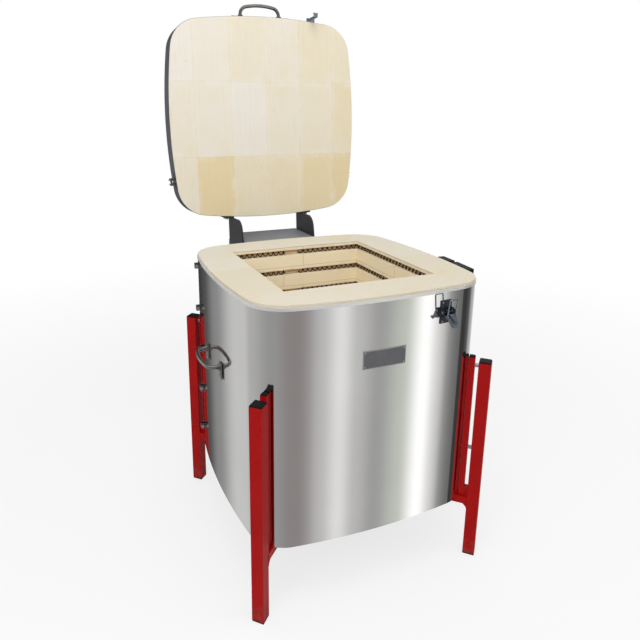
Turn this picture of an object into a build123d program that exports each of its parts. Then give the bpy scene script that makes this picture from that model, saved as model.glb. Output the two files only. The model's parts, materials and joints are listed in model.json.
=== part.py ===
# Square top-loading kiln on four legs: brick chamber, bowed steel jacket, hinged brick lid.
# Millimetres. +X is the right-hand side, -Y is the front, +Z is up, and the floor is z = 0.
# Every piece is built round the middle of the chamber. At the end all of them move together,
# so that the origin lies on the floor under the middle of the whole object.

import os
from math import acos, asin, atan2, cos, degrees, pi, radians, sin, sqrt

from build123d import *

# Chamber and brickwork
CHAMBER_WIDTH = 400.0
COURSES = 7
COURSE_HEIGHT = 60.0
FLOOR_BRICK_THICKNESS = 64.0
FLOOR_BOARD_THICKNESS = 54.0
FLOOR_BOARDS = 2
BRICK_WIDTH = 116.0
BRICK_LENGTH = 228.0
ODD_COURSE_JOINT = 20.0
EVEN_COURSE_JOINT = -43.0

# Body outline seen from above: a square with bowed sides and round corners
BODY_WIDTH = 622.0
SIDE_BOW_RADIUS = 1650.0
CORNER_RADIUS = 95.0

# Steel jacket in two halves
JACKET_THICKNESS = 1.0
JACKET_BOTTOM = 170.0
JACKET_BELOW_RIM = 6.0
JACKET_SPLIT_Y = 188.0
JACKET_SPLIT_GAP = 2.0
HEM_HEIGHT = 7.0
HEM_THICKNESS = 1.4
WINDOW_MARGIN = 14.0
WINDOW_BELOW_HEM = 4.0
CLAMP_COUNT = 5
CLAMP_PITCH = 123.0
TOP_CLAMP_BELOW_RIM = 26.0

# Stand
LEG_TUBE = 30.0
LEG_WALL = 2.5
LEG_STANDOFF = 25.0
LEG_TOP = 552.0
INNER_POST_TUBE = 15.0
INNER_POST_WALL = 1.5
INNER_POST_GAP = 0.5
INNER_POST_TOP = 561.0
CAP_THICKNESS = 4.0
CAP_INSERT = 8.0
CAP_FIT = 0.2
FOOT_THICKNESS = 4.0
BEAM_HEIGHT = 20.0
BEAM_WALL = 2.0
BEAM_GUSSET = 10.0
POST_BLOCK_HEIGHT = 26.0
PAN_THICKNESS = 2.0
UPPER_STUD_Z = 540.0
LOWER_STUD_Z = 311.0
STUD_DIAMETER = 6.0
STUD_SLEEVE_WIDTH = 10.0

# Heating elements, one in a groove of each course
GROOVE_HEIGHT = 15.0
GROOVE_DEPTH = 16.0
GROOVE_BELOW_COURSE_TOP = 10.0
COIL_DIAMETER = 13.0
COIL_CORNER_RADIUS = 25.0
COIL_CLEARANCE = 0.3
COIL_WIRE = 3.0
TOP_COIL_CURLS = 97
TAIL_BEND_X = 1.0
TAIL_BEND_Y = 4.0
LEFT_TAIL_BEND = 4.5
LEFT_TAIL_X = -36.0
RIGHT_TAIL_X = 12.0
BUSHING_DIAMETER = 10.0
BUSHING_CLEARANCE = 0.2
BUSHING_PROUD = 12.0
BUSHING_BEHIND_GROOVE = 5.0
TERMINAL_DIAMETER = 11.0
TERMINAL_LENGTH = 16.0
THERMOCOUPLE_X = -14.0
THERMOCOUPLE_Z = 600.0
THERMOCOUPLE_DIAMETER = 9.0
THERMOCOUPLE_REACH = 30.0
THERMOCOUPLE_HEAD = 18.0
THERMOCOUPLE_HEAD_REACH = 24.0

# Rear connection box
BOX_HALF_WIDTH = 88.0
BOX_DEPTH = 64.0
BOX_TOP = 750.0
BOX_BOTTOM = 240.0
BOX_WALL = 1.5
BOX_TAB_WIDTH = 14.0
BOX_VENTS = 8
VENT_WIDTH = 90.0
VENT_HEIGHT = 6.0
VENT_PITCH = 14.0
GLAND_X = 40.0
GLAND_HOLE = 20.0
GLAND_HEX = 24.0

# Lid
LID_BRICK_THICKNESS = 64.0
LID_CLOSED_GAP = 0.4
LID_OPEN_ANGLE = 93.5
LID_BAND_THICKNESS = 1.2
LID_BAND_RECESS = 3.0
LID_BAND_LIP = 14.0
LID_COVER_THICKNESS = 1.5
LID_COLUMN_OFFSET = 2.0

# Hinge
HINGE_BEHIND_BODY = 91.0
HINGE_BELOW_RIM = 37.0
AXLE_DIAMETER = 12.0
AXLE_CLEARANCE = 0.05
WASHER_DIAMETER = 24.0
ARM_X = 118.0
ARM_THICKNESS = 6.0
ARM_END_RADIUS = 58.0
ARM_FRONT_RADIUS = 40.0
ARM_FRONT_DROP = 10.0
ARM_SHOULDER = 20.0
ARM_TOP_BELOW_LID_TOP = 18.0
ARM_FLANGE_THICKNESS = 5.0
ARM_FLANGE_WIDTH = 34.0
BRACKET_THICKNESS = 3.0
BRACKET_HALF_WIDTH = 115.0
BRACKET_TOP_BELOW_RIM = 8.0
BRACKET_DEPTH = 186.0
BRACKET_FLANGE_HEIGHT = 66.0
BRACKET_FOOT_WIDTH = 22.0
STOP_WIDTH = 10.0
STOP_HEIGHT = 32.0
STOP_TOP_BELOW_RIM = 26.0

# Bow handles on the lid and on both sides
HANDLE_HALF_SPAN = 64.0
HANDLE_RISE = 38.0
HANDLE_BAR = 10.5
HANDLE_BEND_RADIUS = 24.0
HANDLE_ARCH_SLOPE = 12.0
HANDLE_COLLAR = 16.0
HANDLE_COLLAR_HEIGHT = 5.0
HANDLE_PLATE_LENGTH = 42.0
HANDLE_PLATE_WIDTH = 22.0
HANDLE_PLATE_THICKNESS = 3.0
SIDE_HANDLE_Y = 10.0
SIDE_HANDLE_Z = 538.0

# Draw latch on the front, with its strike on the lid
LATCH_X = 163.0
LATCH_PIVOT_Z = 706.0
LATCH_PIVOT_OUT = 9.5
LATCH_BASE_WIDTH = 32.0
LATCH_BASE_BELOW_PIVOT = 30.0
LATCH_BASE_ABOVE_PIVOT = 26.0
LATCH_SHEET = 2.0
LEVER_PIN = 4.0
BAIL_WIRE = 3.5
LINK_OUT = 4.5
LINK_DOWN = 13.0
LEVER_LENGTH = 40.0
LEVER_HALF_WIDTH = 9.0
LEVER_SHEET = 1.5
BAIL_LENGTH = 43.0
BAIL_HALF_WIDTH = 11.5
BAIL_BEND_RADIUS = 4.5
LEVER_REST_ANGLE = 30.0
BAIL_RATIO = -1.25
LATCH_CLEARANCE = 0.06
STRIKE_WIDTH = 28.0
STRIKE_SHEET = 2.5
STRIKE_HOOK_LIP = 5.0
STRIKE_HEIGHT = 34.0

# Blank plate on the front
PLATE_WIDTH = 110.0
PLATE_HEIGHT = 44.0
PLATE_THICKNESS = 1.2
PLATE_MIDDLE_Z = 618.0

# Lid switch on the right-hand side
SWITCH_DEPTH = 20.0
SWITCH_HEIGHT = 46.0
SWITCH_TOP_BELOW_RIM = 0.0
SWITCH_FRONT_Y = -200.0
SWITCH_LENGTH = 79.0
PLUG_LENGTH = 55.0
SWITCH_GAP = 9.0
SWITCH_BRACKET = 2.0

# Levels and places that follow from the sizes above
half_chamber = CHAMBER_WIDTH / 2
half_body = BODY_WIDTH / 2
beam_top = JACKET_BOTTOM
pan_top = beam_top + PAN_THICKNESS
boards_top = pan_top + FLOOR_BOARDS * FLOOR_BOARD_THICKNESS
floor_top = boards_top + FLOOR_BRICK_THICKNESS
rim = floor_top + COURSES * COURSE_HEIGHT
jacket_top = rim - JACKET_BELOW_RIM
side_centre = SIDE_BOW_RADIUS - half_body
corner_reach = 2 * (SIDE_BOW_RADIUS - CORNER_RADIUS) ** 2 - side_centre ** 2
corner_centre = (sqrt(corner_reach) - side_centre) / 2
corner_angle = atan2(corner_centre + side_centre, corner_centre)
corner_radial = corner_centre * sqrt(2) + CORNER_RADIUS
leg_inner = corner_radial + LEG_STANDOFF
inner_post_start = corner_radial + INNER_POST_GAP
inner_post_end = inner_post_start + INNER_POST_TUBE
hinge_y = half_body + HINGE_BEHIND_BODY
hinge_z = rim - HINGE_BELOW_RIM
lid_under = rim + LID_CLOSED_GAP
lid_cover_bottom = lid_under + LID_BRICK_THICKNESS
lid_cover_top = lid_cover_bottom + LID_COVER_THICKNESS
lid_top = lid_cover_top + LID_BAND_THICKNESS
groove_back = half_chamber + GROOVE_DEPTH
coil_axis = half_chamber + GROOVE_DEPTH / 2 + COIL_CLEARANCE
curl_radius = (COIL_DIAMETER - COIL_WIRE) / 2
bushing_start = groove_back + BUSHING_BEHIND_GROOVE
parts = {}


def block(x0, x1, y0, y1, z0, z1):
    """A box between two corners."""
    return Pos((x0 + x1) / 2, (y0 + y1) / 2, (z0 + z1) / 2) * Box(x1 - x0, y1 - y0, z1 - z0)


def rod(start, end, diameter):
    """A round bar from one point to another."""
    start = Vector(*start)
    end = Vector(*end)
    along = end - start
    bar = Cylinder(diameter / 2, along.length, align=(Align.CENTER, Align.CENTER, Align.MIN))
    return Plane(origin=start, z_dir=along) * bar


def hexagon(start, end, across_flats):
    """A hexagonal bar from one point to another."""
    start = Vector(*start)
    end = Vector(*end)
    along = end - start
    outline = RegularPolygon(across_flats / 2, 6, major_radius=False)
    return Plane(origin=start, z_dir=along) * extrude(outline, along.length)


def outline_face(inset):
    """The body's outline from above, moved inwards by inset (outwards if it is negative)."""
    side_radius = SIDE_BOW_RADIUS - inset
    radius = CORNER_RADIUS - inset
    edges = []
    for turn in range(4):
        centre = Vector(0, -side_centre)
        corner = Vector(corner_centre, corner_centre)
        right = centre + Vector(side_radius * cos(corner_angle), side_radius * sin(corner_angle))
        left = Vector(-right.X, right.Y)
        top = centre + Vector(0, side_radius)
        reach = radius / sqrt(2)
        corner_middle = corner + Vector(reach, reach)
        corner_end = Vector(right.Y, right.X)
        side = ThreePointArc(left, top, right)
        bend = ThreePointArc(right, corner_middle, corner_end)
        for edge in (side, bend):
            edges.append(edge.rotate(Axis.Z, -90 * turn))
    return Face(Wire(edges))


def outline_solid(inset, low, high):
    """A block with the body's outline between two heights."""
    return Pos(0, 0, low) * extrude(outline_face(inset), high - low, dir=(0, 0, 1))


def outline_ring(outer_inset, inner_inset, low, high):
    """A wall that follows the body's outline."""
    return outline_solid(outer_inset, low, high) - outline_solid(inner_inset, low, high)


def face_y(x):
    """How far the jacket's rear face lies from the middle, at x."""
    return sqrt(SIDE_BOW_RADIUS ** 2 - x ** 2) - side_centre


def at_side(side, y):
    """A place on the side face at y: its own -Y points out of the body."""
    tilt = degrees(asin(y / SIDE_BOW_RADIUS))
    if side > 0:
        return Pos(face_y(y), y, 0) * Rot(0, 0, 90 + tilt)
    return Pos(-face_y(y), y, 0) * Rot(0, 0, -90 - tilt)


def at_rear(x):
    """A place on the rear face at x: its own -Y points out of the body."""
    return Pos(x, face_y(x), 0) * Rot(0, 0, 180 - degrees(asin(x / SIDE_BOW_RADIUS)))


def at_front(x):
    """A place on the front face at x: its own -Y points out of the body."""
    return Pos(x, -face_y(x), 0) * Rot(0, 0, degrees(asin(x / SIDE_BOW_RADIUS)))


def each_corner():
    """The four diagonal directions, with a name for each leg."""
    return {"front_left": 225, "front_right": 315, "rear_right": 45, "rear_left": 135}


def solids_of(shape):
    """The separate solids in a shape or list of shapes."""
    if isinstance(shape, (list, tuple)):
        found = []
        for one in shape:
            found.extend(solids_of(one))
        return found
    return list(shape.solids())


def keep(name, shape, place=Pos(0, 0, 0)):
    """Store a node as its separate solids."""
    parts[name] = [place * solid for solid in solids_of(shape)]


# Stand: at each corner a thick outer post and a thin inner post beside the jacket, both square
# tubes turned to the diagonal, joined by crossed beams that run under the body


def square_tube(start, width, wall, low, high):
    """An upright square tube on the X axis whose inner face is at x = start."""
    half = width / 2
    outer = block(start, start + width, -half, half, low, high)
    bore = block(start + wall, start + width - wall, wall - half, half - wall, low, high)
    return outer - bore


def tube_plug(start, width, wall, z, thickness, upward):
    """A plastic end piece: a plate over the tube's end and a stub inside its bore."""
    half = width / 2
    fit = half - wall - CAP_FIT
    middle = start + half
    plate = extrude(Rectangle(width, width), thickness, taper=20 if upward else 0)
    stub = Box(2 * fit, 2 * fit, CAP_INSERT, align=(Align.CENTER, Align.CENTER, Align.MAX))
    plug = plate + stub
    if not upward:
        plug = Rot(180, 0, 0) * plug
    return Pos(middle, 0, z) * plug


leg = square_tube(leg_inner, LEG_TUBE, LEG_WALL, FOOT_THICKNESS, LEG_TOP)
inner_post = square_tube(inner_post_start, INNER_POST_TUBE, INNER_POST_WALL, beam_top, INNER_POST_TOP)
for stud_z in (UPPER_STUD_Z, LOWER_STUD_Z):
    stud_hole = rod((inner_post_start - 1, 0, stud_z), (leg_inner + LEG_WALL + 1, 0, stud_z), STUD_DIAMETER)
    leg -= stud_hole
    inner_post -= stud_hole
for corner_name, angle in each_corner().items():
    keep("leg_" + corner_name, Rot(0, 0, angle) * leg)

inner_posts = []
caps = []
feet = []
for angle in each_corner().values():
    turned = Rot(0, 0, angle)
    inner_posts.append(turned * inner_post)
    leg_cap = tube_plug(leg_inner, LEG_TUBE, LEG_WALL, LEG_TOP, CAP_THICKNESS, True)
    post_width = INNER_POST_TUBE
    post_cap = tube_plug(inner_post_start, post_width, INNER_POST_WALL, INNER_POST_TOP, CAP_THICKNESS, True)
    caps.extend([turned * leg_cap, turned * post_cap])
    feet.append(turned * tube_plug(leg_inner, LEG_TUBE, LEG_WALL, FOOT_THICKNESS, FOOT_THICKNESS, False))
keep("inner_posts", inner_posts)
keep("post_caps", caps)
keep("leg_foot_plugs", feet)


def beam(start, end):
    """A hollow beam along X, with a gusset and a block between the posts at each outer end."""
    half = LEG_TUBE / 2
    low = beam_top - BEAM_HEIGHT
    wall = BEAM_WALL
    body = block(start, end, -half, half, low, beam_top)
    body -= block(start, end, -half + wall, half - wall, low + wall, beam_top - wall)
    block_half = INNER_POST_TUBE / 2
    for way, tip in ((-1, start), (1, end)):
        if abs(tip) < leg_inner - 1:
            continue
        post_side = way * inner_post_end
        low_x = min(tip, post_side)
        high_x = max(tip, post_side)
        body += block(low_x, high_x, -block_half, block_half, beam_top, beam_top + POST_BLOCK_HEIGHT)
        corner_points = [(tip, low), (tip - way * BEAM_GUSSET, low), (tip, low - BEAM_GUSSET)]
        gusset = Face(Wire.make_polygon([Vector(x, half, z) for x, z in corner_points]))
        body += Solid.extrude(gusset, Vector(0, -LEG_TUBE, 0))
    return body


keep("base_beam_long", Rot(0, 0, 45) * beam(-leg_inner, leg_inner))
half_beams = [beam(LEG_TUBE / 2, leg_inner), beam(-leg_inner, -LEG_TUBE / 2)]
keep("base_beam_halves", [Rot(0, 0, 135) * one for one in half_beams])

studs = []
sleeves = []
stud_end = leg_inner + LEG_WALL + 1.5
for angle in each_corner().values():
    for stud_z in (UPPER_STUD_Z, LOWER_STUD_Z):
        stud = rod((corner_radial - 3, 0, stud_z), (stud_end, 0, stud_z), STUD_DIAMETER)
        studs.append((Rot(0, 0, angle) * stud) - outline_solid(0, stud_z - 20, stud_z + 20))
        sleeve = hexagon((inner_post_end, 0, stud_z), (leg_inner, 0, stud_z), STUD_SLEEVE_WIDTH)
        sleeve -= rod((inner_post_end - 1, 0, stud_z), (leg_inner + 1, 0, stud_z), STUD_DIAMETER)
        sleeves.append(Rot(0, 0, angle) * sleeve)
keep("post_studs", studs)
keep("post_spacers", sleeves)

# Base: steel pan on the beams, two insulating boards and a layer of floor bricks

brick_inset = JACKET_THICKNESS
keep("base_pan", outline_solid(brick_inset, beam_top, pan_top))
boards = []
for layer in range(FLOOR_BOARDS):
    low = pan_top + layer * FLOOR_BOARD_THICKNESS
    boards.append(outline_solid(brick_inset, low, low + FLOOR_BOARD_THICKNESS))
keep("floor_insulation_boards", boards)


def brick_grid(inset, low, high, column_offset):
    """Bricks laid side by side inside the outline, in three rows."""
    slab = outline_solid(inset, low, high)
    columns = [-half_body - 1]
    for index in range(-2, 3):
        columns.append(column_offset + index * BRICK_WIDTH)
    columns.append(half_body + 1)
    rows = [-half_body - 1, -BRICK_LENGTH / 2, BRICK_LENGTH / 2, half_body + 1]
    bricks = []
    for x0, x1 in zip(columns, columns[1:]):
        for y0, y1 in zip(rows, rows[1:]):
            bricks.append(slab & block(x0, x1, y0, y1, low, high))
    return bricks


keep("floor_bricks", brick_grid(brick_inset, boards_top, floor_top, 0))

# Walls: courses of grooved bricks, laid in turn like a pinwheel

reach = half_body + 50


def groove_middle(course):
    """Height of the middle of the element groove in a course, counted from the top."""
    return rim - course * COURSE_HEIGHT - GROOVE_BELOW_COURSE_TOP - GROOVE_HEIGHT / 2


def coil_height(course):
    """Height of the middle of the coil that lies in a course's groove."""
    return groove_middle(course) - (GROOVE_HEIGHT - COIL_DIAMETER) / 2 + COIL_CLEARANCE


def tail_places(course):
    """Where a coil's two tails leave it, both low down."""
    z = coil_height(course)
    return [(RIGHT_TAIL_X, z - curl_radius), (LEFT_TAIL_X, z - LEFT_TAIL_BEND)]


for course in range(COURSES):
    high = rim - course * COURSE_HEIGHT
    low = high - COURSE_HEIGHT
    slab = outline_solid(brick_inset, low, high)
    slab -= block(-half_chamber, half_chamber, -half_chamber, half_chamber, low, high)
    slab -= Pos(0, 0, groove_middle(course)) * Box(2 * groove_back, 2 * groove_back, GROOVE_HEIGHT)
    tail_holes = []
    for tail_x, tail_z in tail_places(course):
        hole = rod((tail_x, groove_back, tail_z), (tail_x, half_body + 5, tail_z), BUSHING_DIAMETER)
        tail_holes.append(hole)
    if low < THERMOCOUPLE_Z < high:
        hole_start = (THERMOCOUPLE_X, half_chamber - 1, THERMOCOUPLE_Z)
        hole_end = (THERMOCOUPLE_X, half_body + 5, THERMOCOUPLE_Z)
        tail_holes.append(rod(hole_start, hole_end, THERMOCOUPLE_DIAMETER))
    slab = slab - tail_holes
    direction = 1 if course % 2 == 0 else -1
    joint = ODD_COURSE_JOINT if course % 2 == 0 else EVEN_COURSE_JOINT
    near = -direction * half_chamber
    far = direction * reach
    bricks = []
    for turn in range(4):
        for x0, x1 in ((near, joint), (joint, far)):
            cell = block(min(x0, x1), max(x0, x1), half_chamber, reach, low, high)
            bricks.append(slab & (Rot(0, 0, 90 * turn) * cell))
    keep(f"wall_course_{course + 1}", bricks)

# Heating elements: a coil round each groove, with two straight tails through the rear wall.
# The top course's coil has its real curls, and the others are tubes of the curls' outside size.

tail_end = half_body + BUSHING_PROUD + TERMINAL_LENGTH + 6


def coil_route(z):
    """The coil's middle line round the chamber, from the right-hand tail to the left-hand one."""
    corners = [
        (RIGHT_TAIL_X + TAIL_BEND_X, coil_axis, z),
        (coil_axis, coil_axis, z),
        (coil_axis, -coil_axis, z),
        (-coil_axis, -coil_axis, z),
        (-coil_axis, coil_axis, z),
        (LEFT_TAIL_X - TAIL_BEND_X, coil_axis, z),
    ]
    return FilletPolyline(*corners, radius=COIL_CORNER_RADIUS)


def biarc(start, start_way, end, end_way):
    """Two arcs that join smoothly, with given directions at their far ends."""
    across = end - start
    square = 2 * (start_way.dot(end_way) - 1)
    linear = -2 * across.dot(start_way + end_way)
    constant = across.dot(across)
    if abs(square) < 1e-9:
        reach = -constant / linear
    else:
        reach = (-linear - sqrt(linear * linear - 4 * square * constant)) / (2 * square)
    near = start + start_way * reach
    far = end - end_way * reach
    middle = (near + far) / 2
    middle_way = (far - near).normalized()
    return [TangentArc(start, middle, tangent=start_way), TangentArc(middle, end, tangent=middle_way)]


def curled_wire(z):
    """The wire's middle line: a tail, curls at a steady pitch laid by half turns, and a tail.
    The curls begin at the coil's bottom and end a quarter turn past its top, going down."""
    route = coil_route(z)
    half_turns = 2 * TOP_COIL_CURLS - 0.5
    advance = route.length / half_turns
    points = []
    ways = []
    for index in (*range(2 * TOP_COIL_CURLS), half_turns):
        along = route % (index / half_turns)
        outward = Vector(-along.Y, along.X)
        turn = -pi / 2 - pi * index
        centre = route @ (index / half_turns)
        points.append(centre + outward * (curl_radius * cos(turn)) + Vector(0, 0, curl_radius * sin(turn)))
        round_way = outward * sin(turn) - Vector(0, 0, cos(turn))
        ways.append((round_way * (pi * curl_radius) + along * advance).normalized())
    right_bend = Vector(RIGHT_TAIL_X, coil_axis + TAIL_BEND_Y, points[0].Z)
    left_bend = Vector(LEFT_TAIL_X, points[-1].Y + LEFT_TAIL_BEND, z - LEFT_TAIL_BEND)
    outwards = Vector(0, 1, 0)
    edges = [Line(Vector(RIGHT_TAIL_X, tail_end, points[0].Z), right_bend)]
    edges.extend(biarc(right_bend, -outwards, points[0], ways[0]))
    for index in range(len(points) - 1):
        edges.extend(biarc(points[index], ways[index], points[index + 1], ways[index + 1]))
    edges.extend(biarc(points[-1], ways[-1], left_bend, outwards))
    edges.append(Line(left_bend, Vector(LEFT_TAIL_X, tail_end, left_bend.Z)))
    return Wire(edges)


def least_gap(wire, diameter):
    """The smallest space between a wire's turns, from points a millimetre apart along it."""
    count = int(wire.length)
    points = [wire @ (index / count) for index in range(count + 1)]
    skip = int(2 * curl_radius)
    window = int(6 * pi * curl_radius)
    nearest = wire.length
    for index, point in enumerate(points):
        for other in points[index + skip:index + window]:
            nearest = min(nearest, (other - point).length)
    return nearest - diameter


coils = []
bushings = []
terminals = []
bushing_end = half_body + BUSHING_PROUD
terminal_end = bushing_end + TERMINAL_LENGTH
bore = COIL_WIRE + 2 * BUSHING_CLEARANCE
for course in range(COURSES):
    z = coil_height(course)
    if course == 0:
        wire = curled_wire(z)
        coil = sweep(Plane(origin=wire @ 0, z_dir=wire % 0) * Circle(COIL_WIRE / 2), path=wire)
        print("top coil: curls", TOP_COIL_CURLS, "least gap", round(least_gap(wire, COIL_WIRE), 2))
        wire_volume = wire.length * pi * COIL_WIRE ** 2 / 4
        print("top coil: volume", round(coil.volume, 1), "expected", round(wire_volume, 1))
    else:
        route = coil_route(z)
        coil = sweep(Plane(origin=route @ 0, z_dir=route % 0) * Circle(COIL_DIAMETER / 2), path=route)
    for tail_x, tail_z in tail_places(course):
        if course > 0:
            coil += rod((tail_x, coil_axis, tail_z), (tail_x, tail_end, tail_z), COIL_WIRE)
        bushing = rod((tail_x, bushing_start, tail_z), (tail_x, bushing_end, tail_z), BUSHING_DIAMETER)
        bushing -= rod((tail_x, bushing_start - 1, tail_z), (tail_x, bushing_end + 1, tail_z), bore)
        bushings.append(bushing)
        terminal = rod((tail_x, bushing_end, tail_z), (tail_x, terminal_end, tail_z), TERMINAL_DIAMETER)
        terminal -= rod((tail_x, bushing_end - 1, tail_z), (tail_x, terminal_end + 1, tail_z), COIL_WIRE)
        terminals.append(terminal)
    coils.append(coil)
keep("heating_coils", coils)
keep("element_bushings", bushings)
keep("element_terminals", terminals)

rear_face = half_body
box_rear = rear_face + BOX_DEPTH
probe_tip = half_chamber - THERMOCOUPLE_REACH
probe_end = rear_face + 20
x = THERMOCOUPLE_X
z = THERMOCOUPLE_Z
probe = rod((x, probe_tip, z), (x, probe_end, z), THERMOCOUPLE_DIAMETER)
probe += rod((x, rear_face + 1, z), (x, rear_face + THERMOCOUPLE_HEAD_REACH, z), THERMOCOUPLE_HEAD)
keep("thermocouple", probe)

# Jacket: a front and a rear sheet with a folded top edge, drawn together by clamps at both sides

window_low = groove_middle(COURSES - 1) - WINDOW_MARGIN
window_high = jacket_top - HEM_HEIGHT - WINDOW_BELOW_HEM
window_left = LEFT_TAIL_X - WINDOW_MARGIN
window_right = RIGHT_TAIL_X + WINDOW_MARGIN
window = block(window_left, window_right, half_body - 20, half_body + 20, window_low, window_high)
jacket = outline_ring(0, JACKET_THICKNESS, JACKET_BOTTOM, jacket_top)
jacket += outline_ring(-HEM_THICKNESS, 0, jacket_top - HEM_HEIGHT, jacket_top)
front_side = block(-reach, reach, -reach, JACKET_SPLIT_Y - JACKET_SPLIT_GAP / 2, 0, rim)
rear_side = block(-reach, reach, JACKET_SPLIT_Y + JACKET_SPLIT_GAP / 2, reach, 0, rim)
keep("jacket_front", jacket & front_side)
keep("jacket_rear", (jacket & rear_side) - window)


def clamp(z, size, out, screw):
    """Two bent lugs either side of the split and the screw that draws them together.
    Built in the frame of a side face, with the split at x = 0 and -Y pointing out."""
    lugs = []
    gap = size * 0.5
    for way in (-1, 1):
        near = way * gap / 2
        far = way * (gap / 2 + size)
        sheet = 1.6
        lug = block(min(near, far), max(near, far), -sheet, -0.02, z - size / 2, z + size / 2)
        upright = way * (gap / 2 + sheet)
        lug += block(min(near, upright), max(near, upright), -out, -0.02, z - size / 2, z + size / 2)
        lug -= rod((near - way, -out * 0.6, z), (near + 3 * way, -out * 0.6, z), screw + 0.3)
        lugs.append(lug)
    length = gap / 2 + 1.6
    shank = rod((-length - 5, -out * 0.6, z), (length, -out * 0.6, z), screw)
    head = rod((length, -out * 0.6, z), (length + screw * 0.9, -out * 0.6, z), screw * 1.8)
    nut = hexagon((-length - screw * 0.8, -out * 0.6, z), (-length, -out * 0.6, z), screw * 1.7)
    nut -= rod((-length - 6, -out * 0.6, z), (-length + 1, -out * 0.6, z), screw)
    return lugs, shank + head, nut


clamp_lugs = []
clamp_screws = []
for side in (-1, 1):
    place = at_side(side, JACKET_SPLIT_Y)
    for index in range(CLAMP_COUNT):
        z = rim - TOP_CLAMP_BELOW_RIM - index * CLAMP_PITCH
        lugs, screw, nut = clamp(z, 15, 13, 5)
        clamp_lugs.extend([place * lug for lug in lugs])
        clamp_screws.extend([place * screw, place * nut])
keep("jacket_clamp_lugs", clamp_lugs)
keep("jacket_clamp_screws", clamp_screws)

# Bow handles: a bent round bar on two screwed plates

def bow_handle():
    """Bow in the XZ plane of its own frame: two upright ends, two tight bends and a long flat arch."""
    half = HANDLE_HALF_SPAN
    bend = HANDLE_BEND_RADIUS
    slope = radians(HANDLE_ARCH_SLOPE)
    arch_x = half - bend * (1 - sin(slope))
    leg_top = HANDLE_RISE - bend * cos(slope) - arch_x * (1 - cos(slope)) / sin(slope)
    arch_z = leg_top + bend * cos(slope)
    bend_turn = (pi / 2 - slope) / 2
    bend_x = half - bend * (1 - cos(bend_turn))
    bend_z = leg_top + bend * sin(bend_turn)
    foot_z = HANDLE_PLATE_THICKNESS
    bends = []
    for way in (-1, 1):
        leg_end = Vector(way * half, 0, leg_top)
        middle = Vector(way * bend_x, 0, bend_z)
        arch_end = Vector(way * arch_x, 0, arch_z)
        bends.append((leg_end, middle, arch_end))
    left, right = bends
    path = Wire([
        Line(Vector(-half, 0, foot_z), left[0]),
        ThreePointArc(*left),
        ThreePointArc(left[2], Vector(0, 0, HANDLE_RISE), right[2]),
        ThreePointArc(*reversed(right)),
        Line(right[0], Vector(half, 0, foot_z)),
    ])
    bar = sweep(Plane(origin=path @ 0, z_dir=path % 0) * Circle(HANDLE_BAR / 2), path=path)
    for x in (-half, half):
        bar += rod((x, 0, foot_z), (x, 0, foot_z + HANDLE_COLLAR_HEIGHT), HANDLE_COLLAR)
    return bar


def handle_plate(way, along):
    """A foot plate of a handle with its two screws, in line with the bow (along) or across it."""
    low = -HANDLE_PLATE_WIDTH / 2
    start = -HANDLE_PLATE_WIDTH / 2
    end = start + HANDLE_PLATE_LENGTH
    if along:
        plate = block(start, end, low, -low, 0, HANDLE_PLATE_THICKNESS)
        screw_places = [(end - 6, 0), (end - 18, 0)]
    else:
        plate = block(low, -low, start, end, 0, HANDLE_PLATE_THICKNESS)
        screw_places = [(0, end - 6), (0, end - 18)]
    screws = []
    for x, y in screw_places:
        screws.append(rod((x, y, HANDLE_PLATE_THICKNESS), (x, y, HANDLE_PLATE_THICKNESS + 1.8), 7))
    shift = Pos(way * HANDLE_HALF_SPAN, 0, 0)
    if way < 0 and along:
        shift = shift * Rot(0, 0, 180)
    return shift * plate, [shift * screw for screw in screws]


bow = bow_handle()
fitting_screws = []
side_plates = []
for side, name in ((-1, "left"), (1, "right")):
    seat = Pos(side * half_body, SIDE_HANDLE_Y, SIDE_HANDLE_Z) * Rot(0, 0, 90 * side) * Rot(90, 0, 0)
    keep("side_handle_" + name, seat * bow)
    for way in (-1, 1):
        plate, screws = handle_plate(way, False)
        plate = seat * Rot(0, 0, 180) * plate
        side_plates.append(plate - outline_solid(0, SIDE_HANDLE_Z - 60, SIDE_HANDLE_Z + 60))
        fitting_screws.extend([seat * Rot(0, 0, 180) * screw for screw in screws])
keep("side_handle_plates", side_plates)

# Blank plate on the front, bent to the jacket's bow and held by four rivets

plate_low = PLATE_MIDDLE_Z - PLATE_HEIGHT / 2
plate_high = PLATE_MIDDLE_Z + PLATE_HEIGHT / 2
plate = outline_ring(-PLATE_THICKNESS, 0, plate_low, plate_high)
plate &= block(-PLATE_WIDTH / 2, PLATE_WIDTH / 2, -half_body - 10, -half_body + 30, plate_low, plate_high)
keep("blank_front_plate", plate)
for x in (-PLATE_WIDTH / 2 + 5, PLATE_WIDTH / 2 - 5):
    for z in (plate_low + 5, plate_high - 5):
        rivet = rod((0, -PLATE_THICKNESS, z), (0, -PLATE_THICKNESS - 1.0, z), 4)
        fitting_screws.append(at_front(x) * rivet)

# Draw latch: base with ears, lever on a pin, and a wire bail on the lever's own pin.
# The frame is that of the front face: -Y points out. The lever is built folded, then opened.

latch_place = at_front(LATCH_X)
half_base = LATCH_BASE_WIDTH / 2
base_low = LATCH_PIVOT_Z - LATCH_BASE_BELOW_PIVOT
base_high = LATCH_PIVOT_Z + LATCH_BASE_ABOVE_PIVOT
ear_inner = half_base - LATCH_SHEET
pivot = Vector(0, -LATCH_PIVOT_OUT, LATCH_PIVOT_Z)
link = pivot + Vector(0, -LINK_OUT, -LINK_DOWN)

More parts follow.
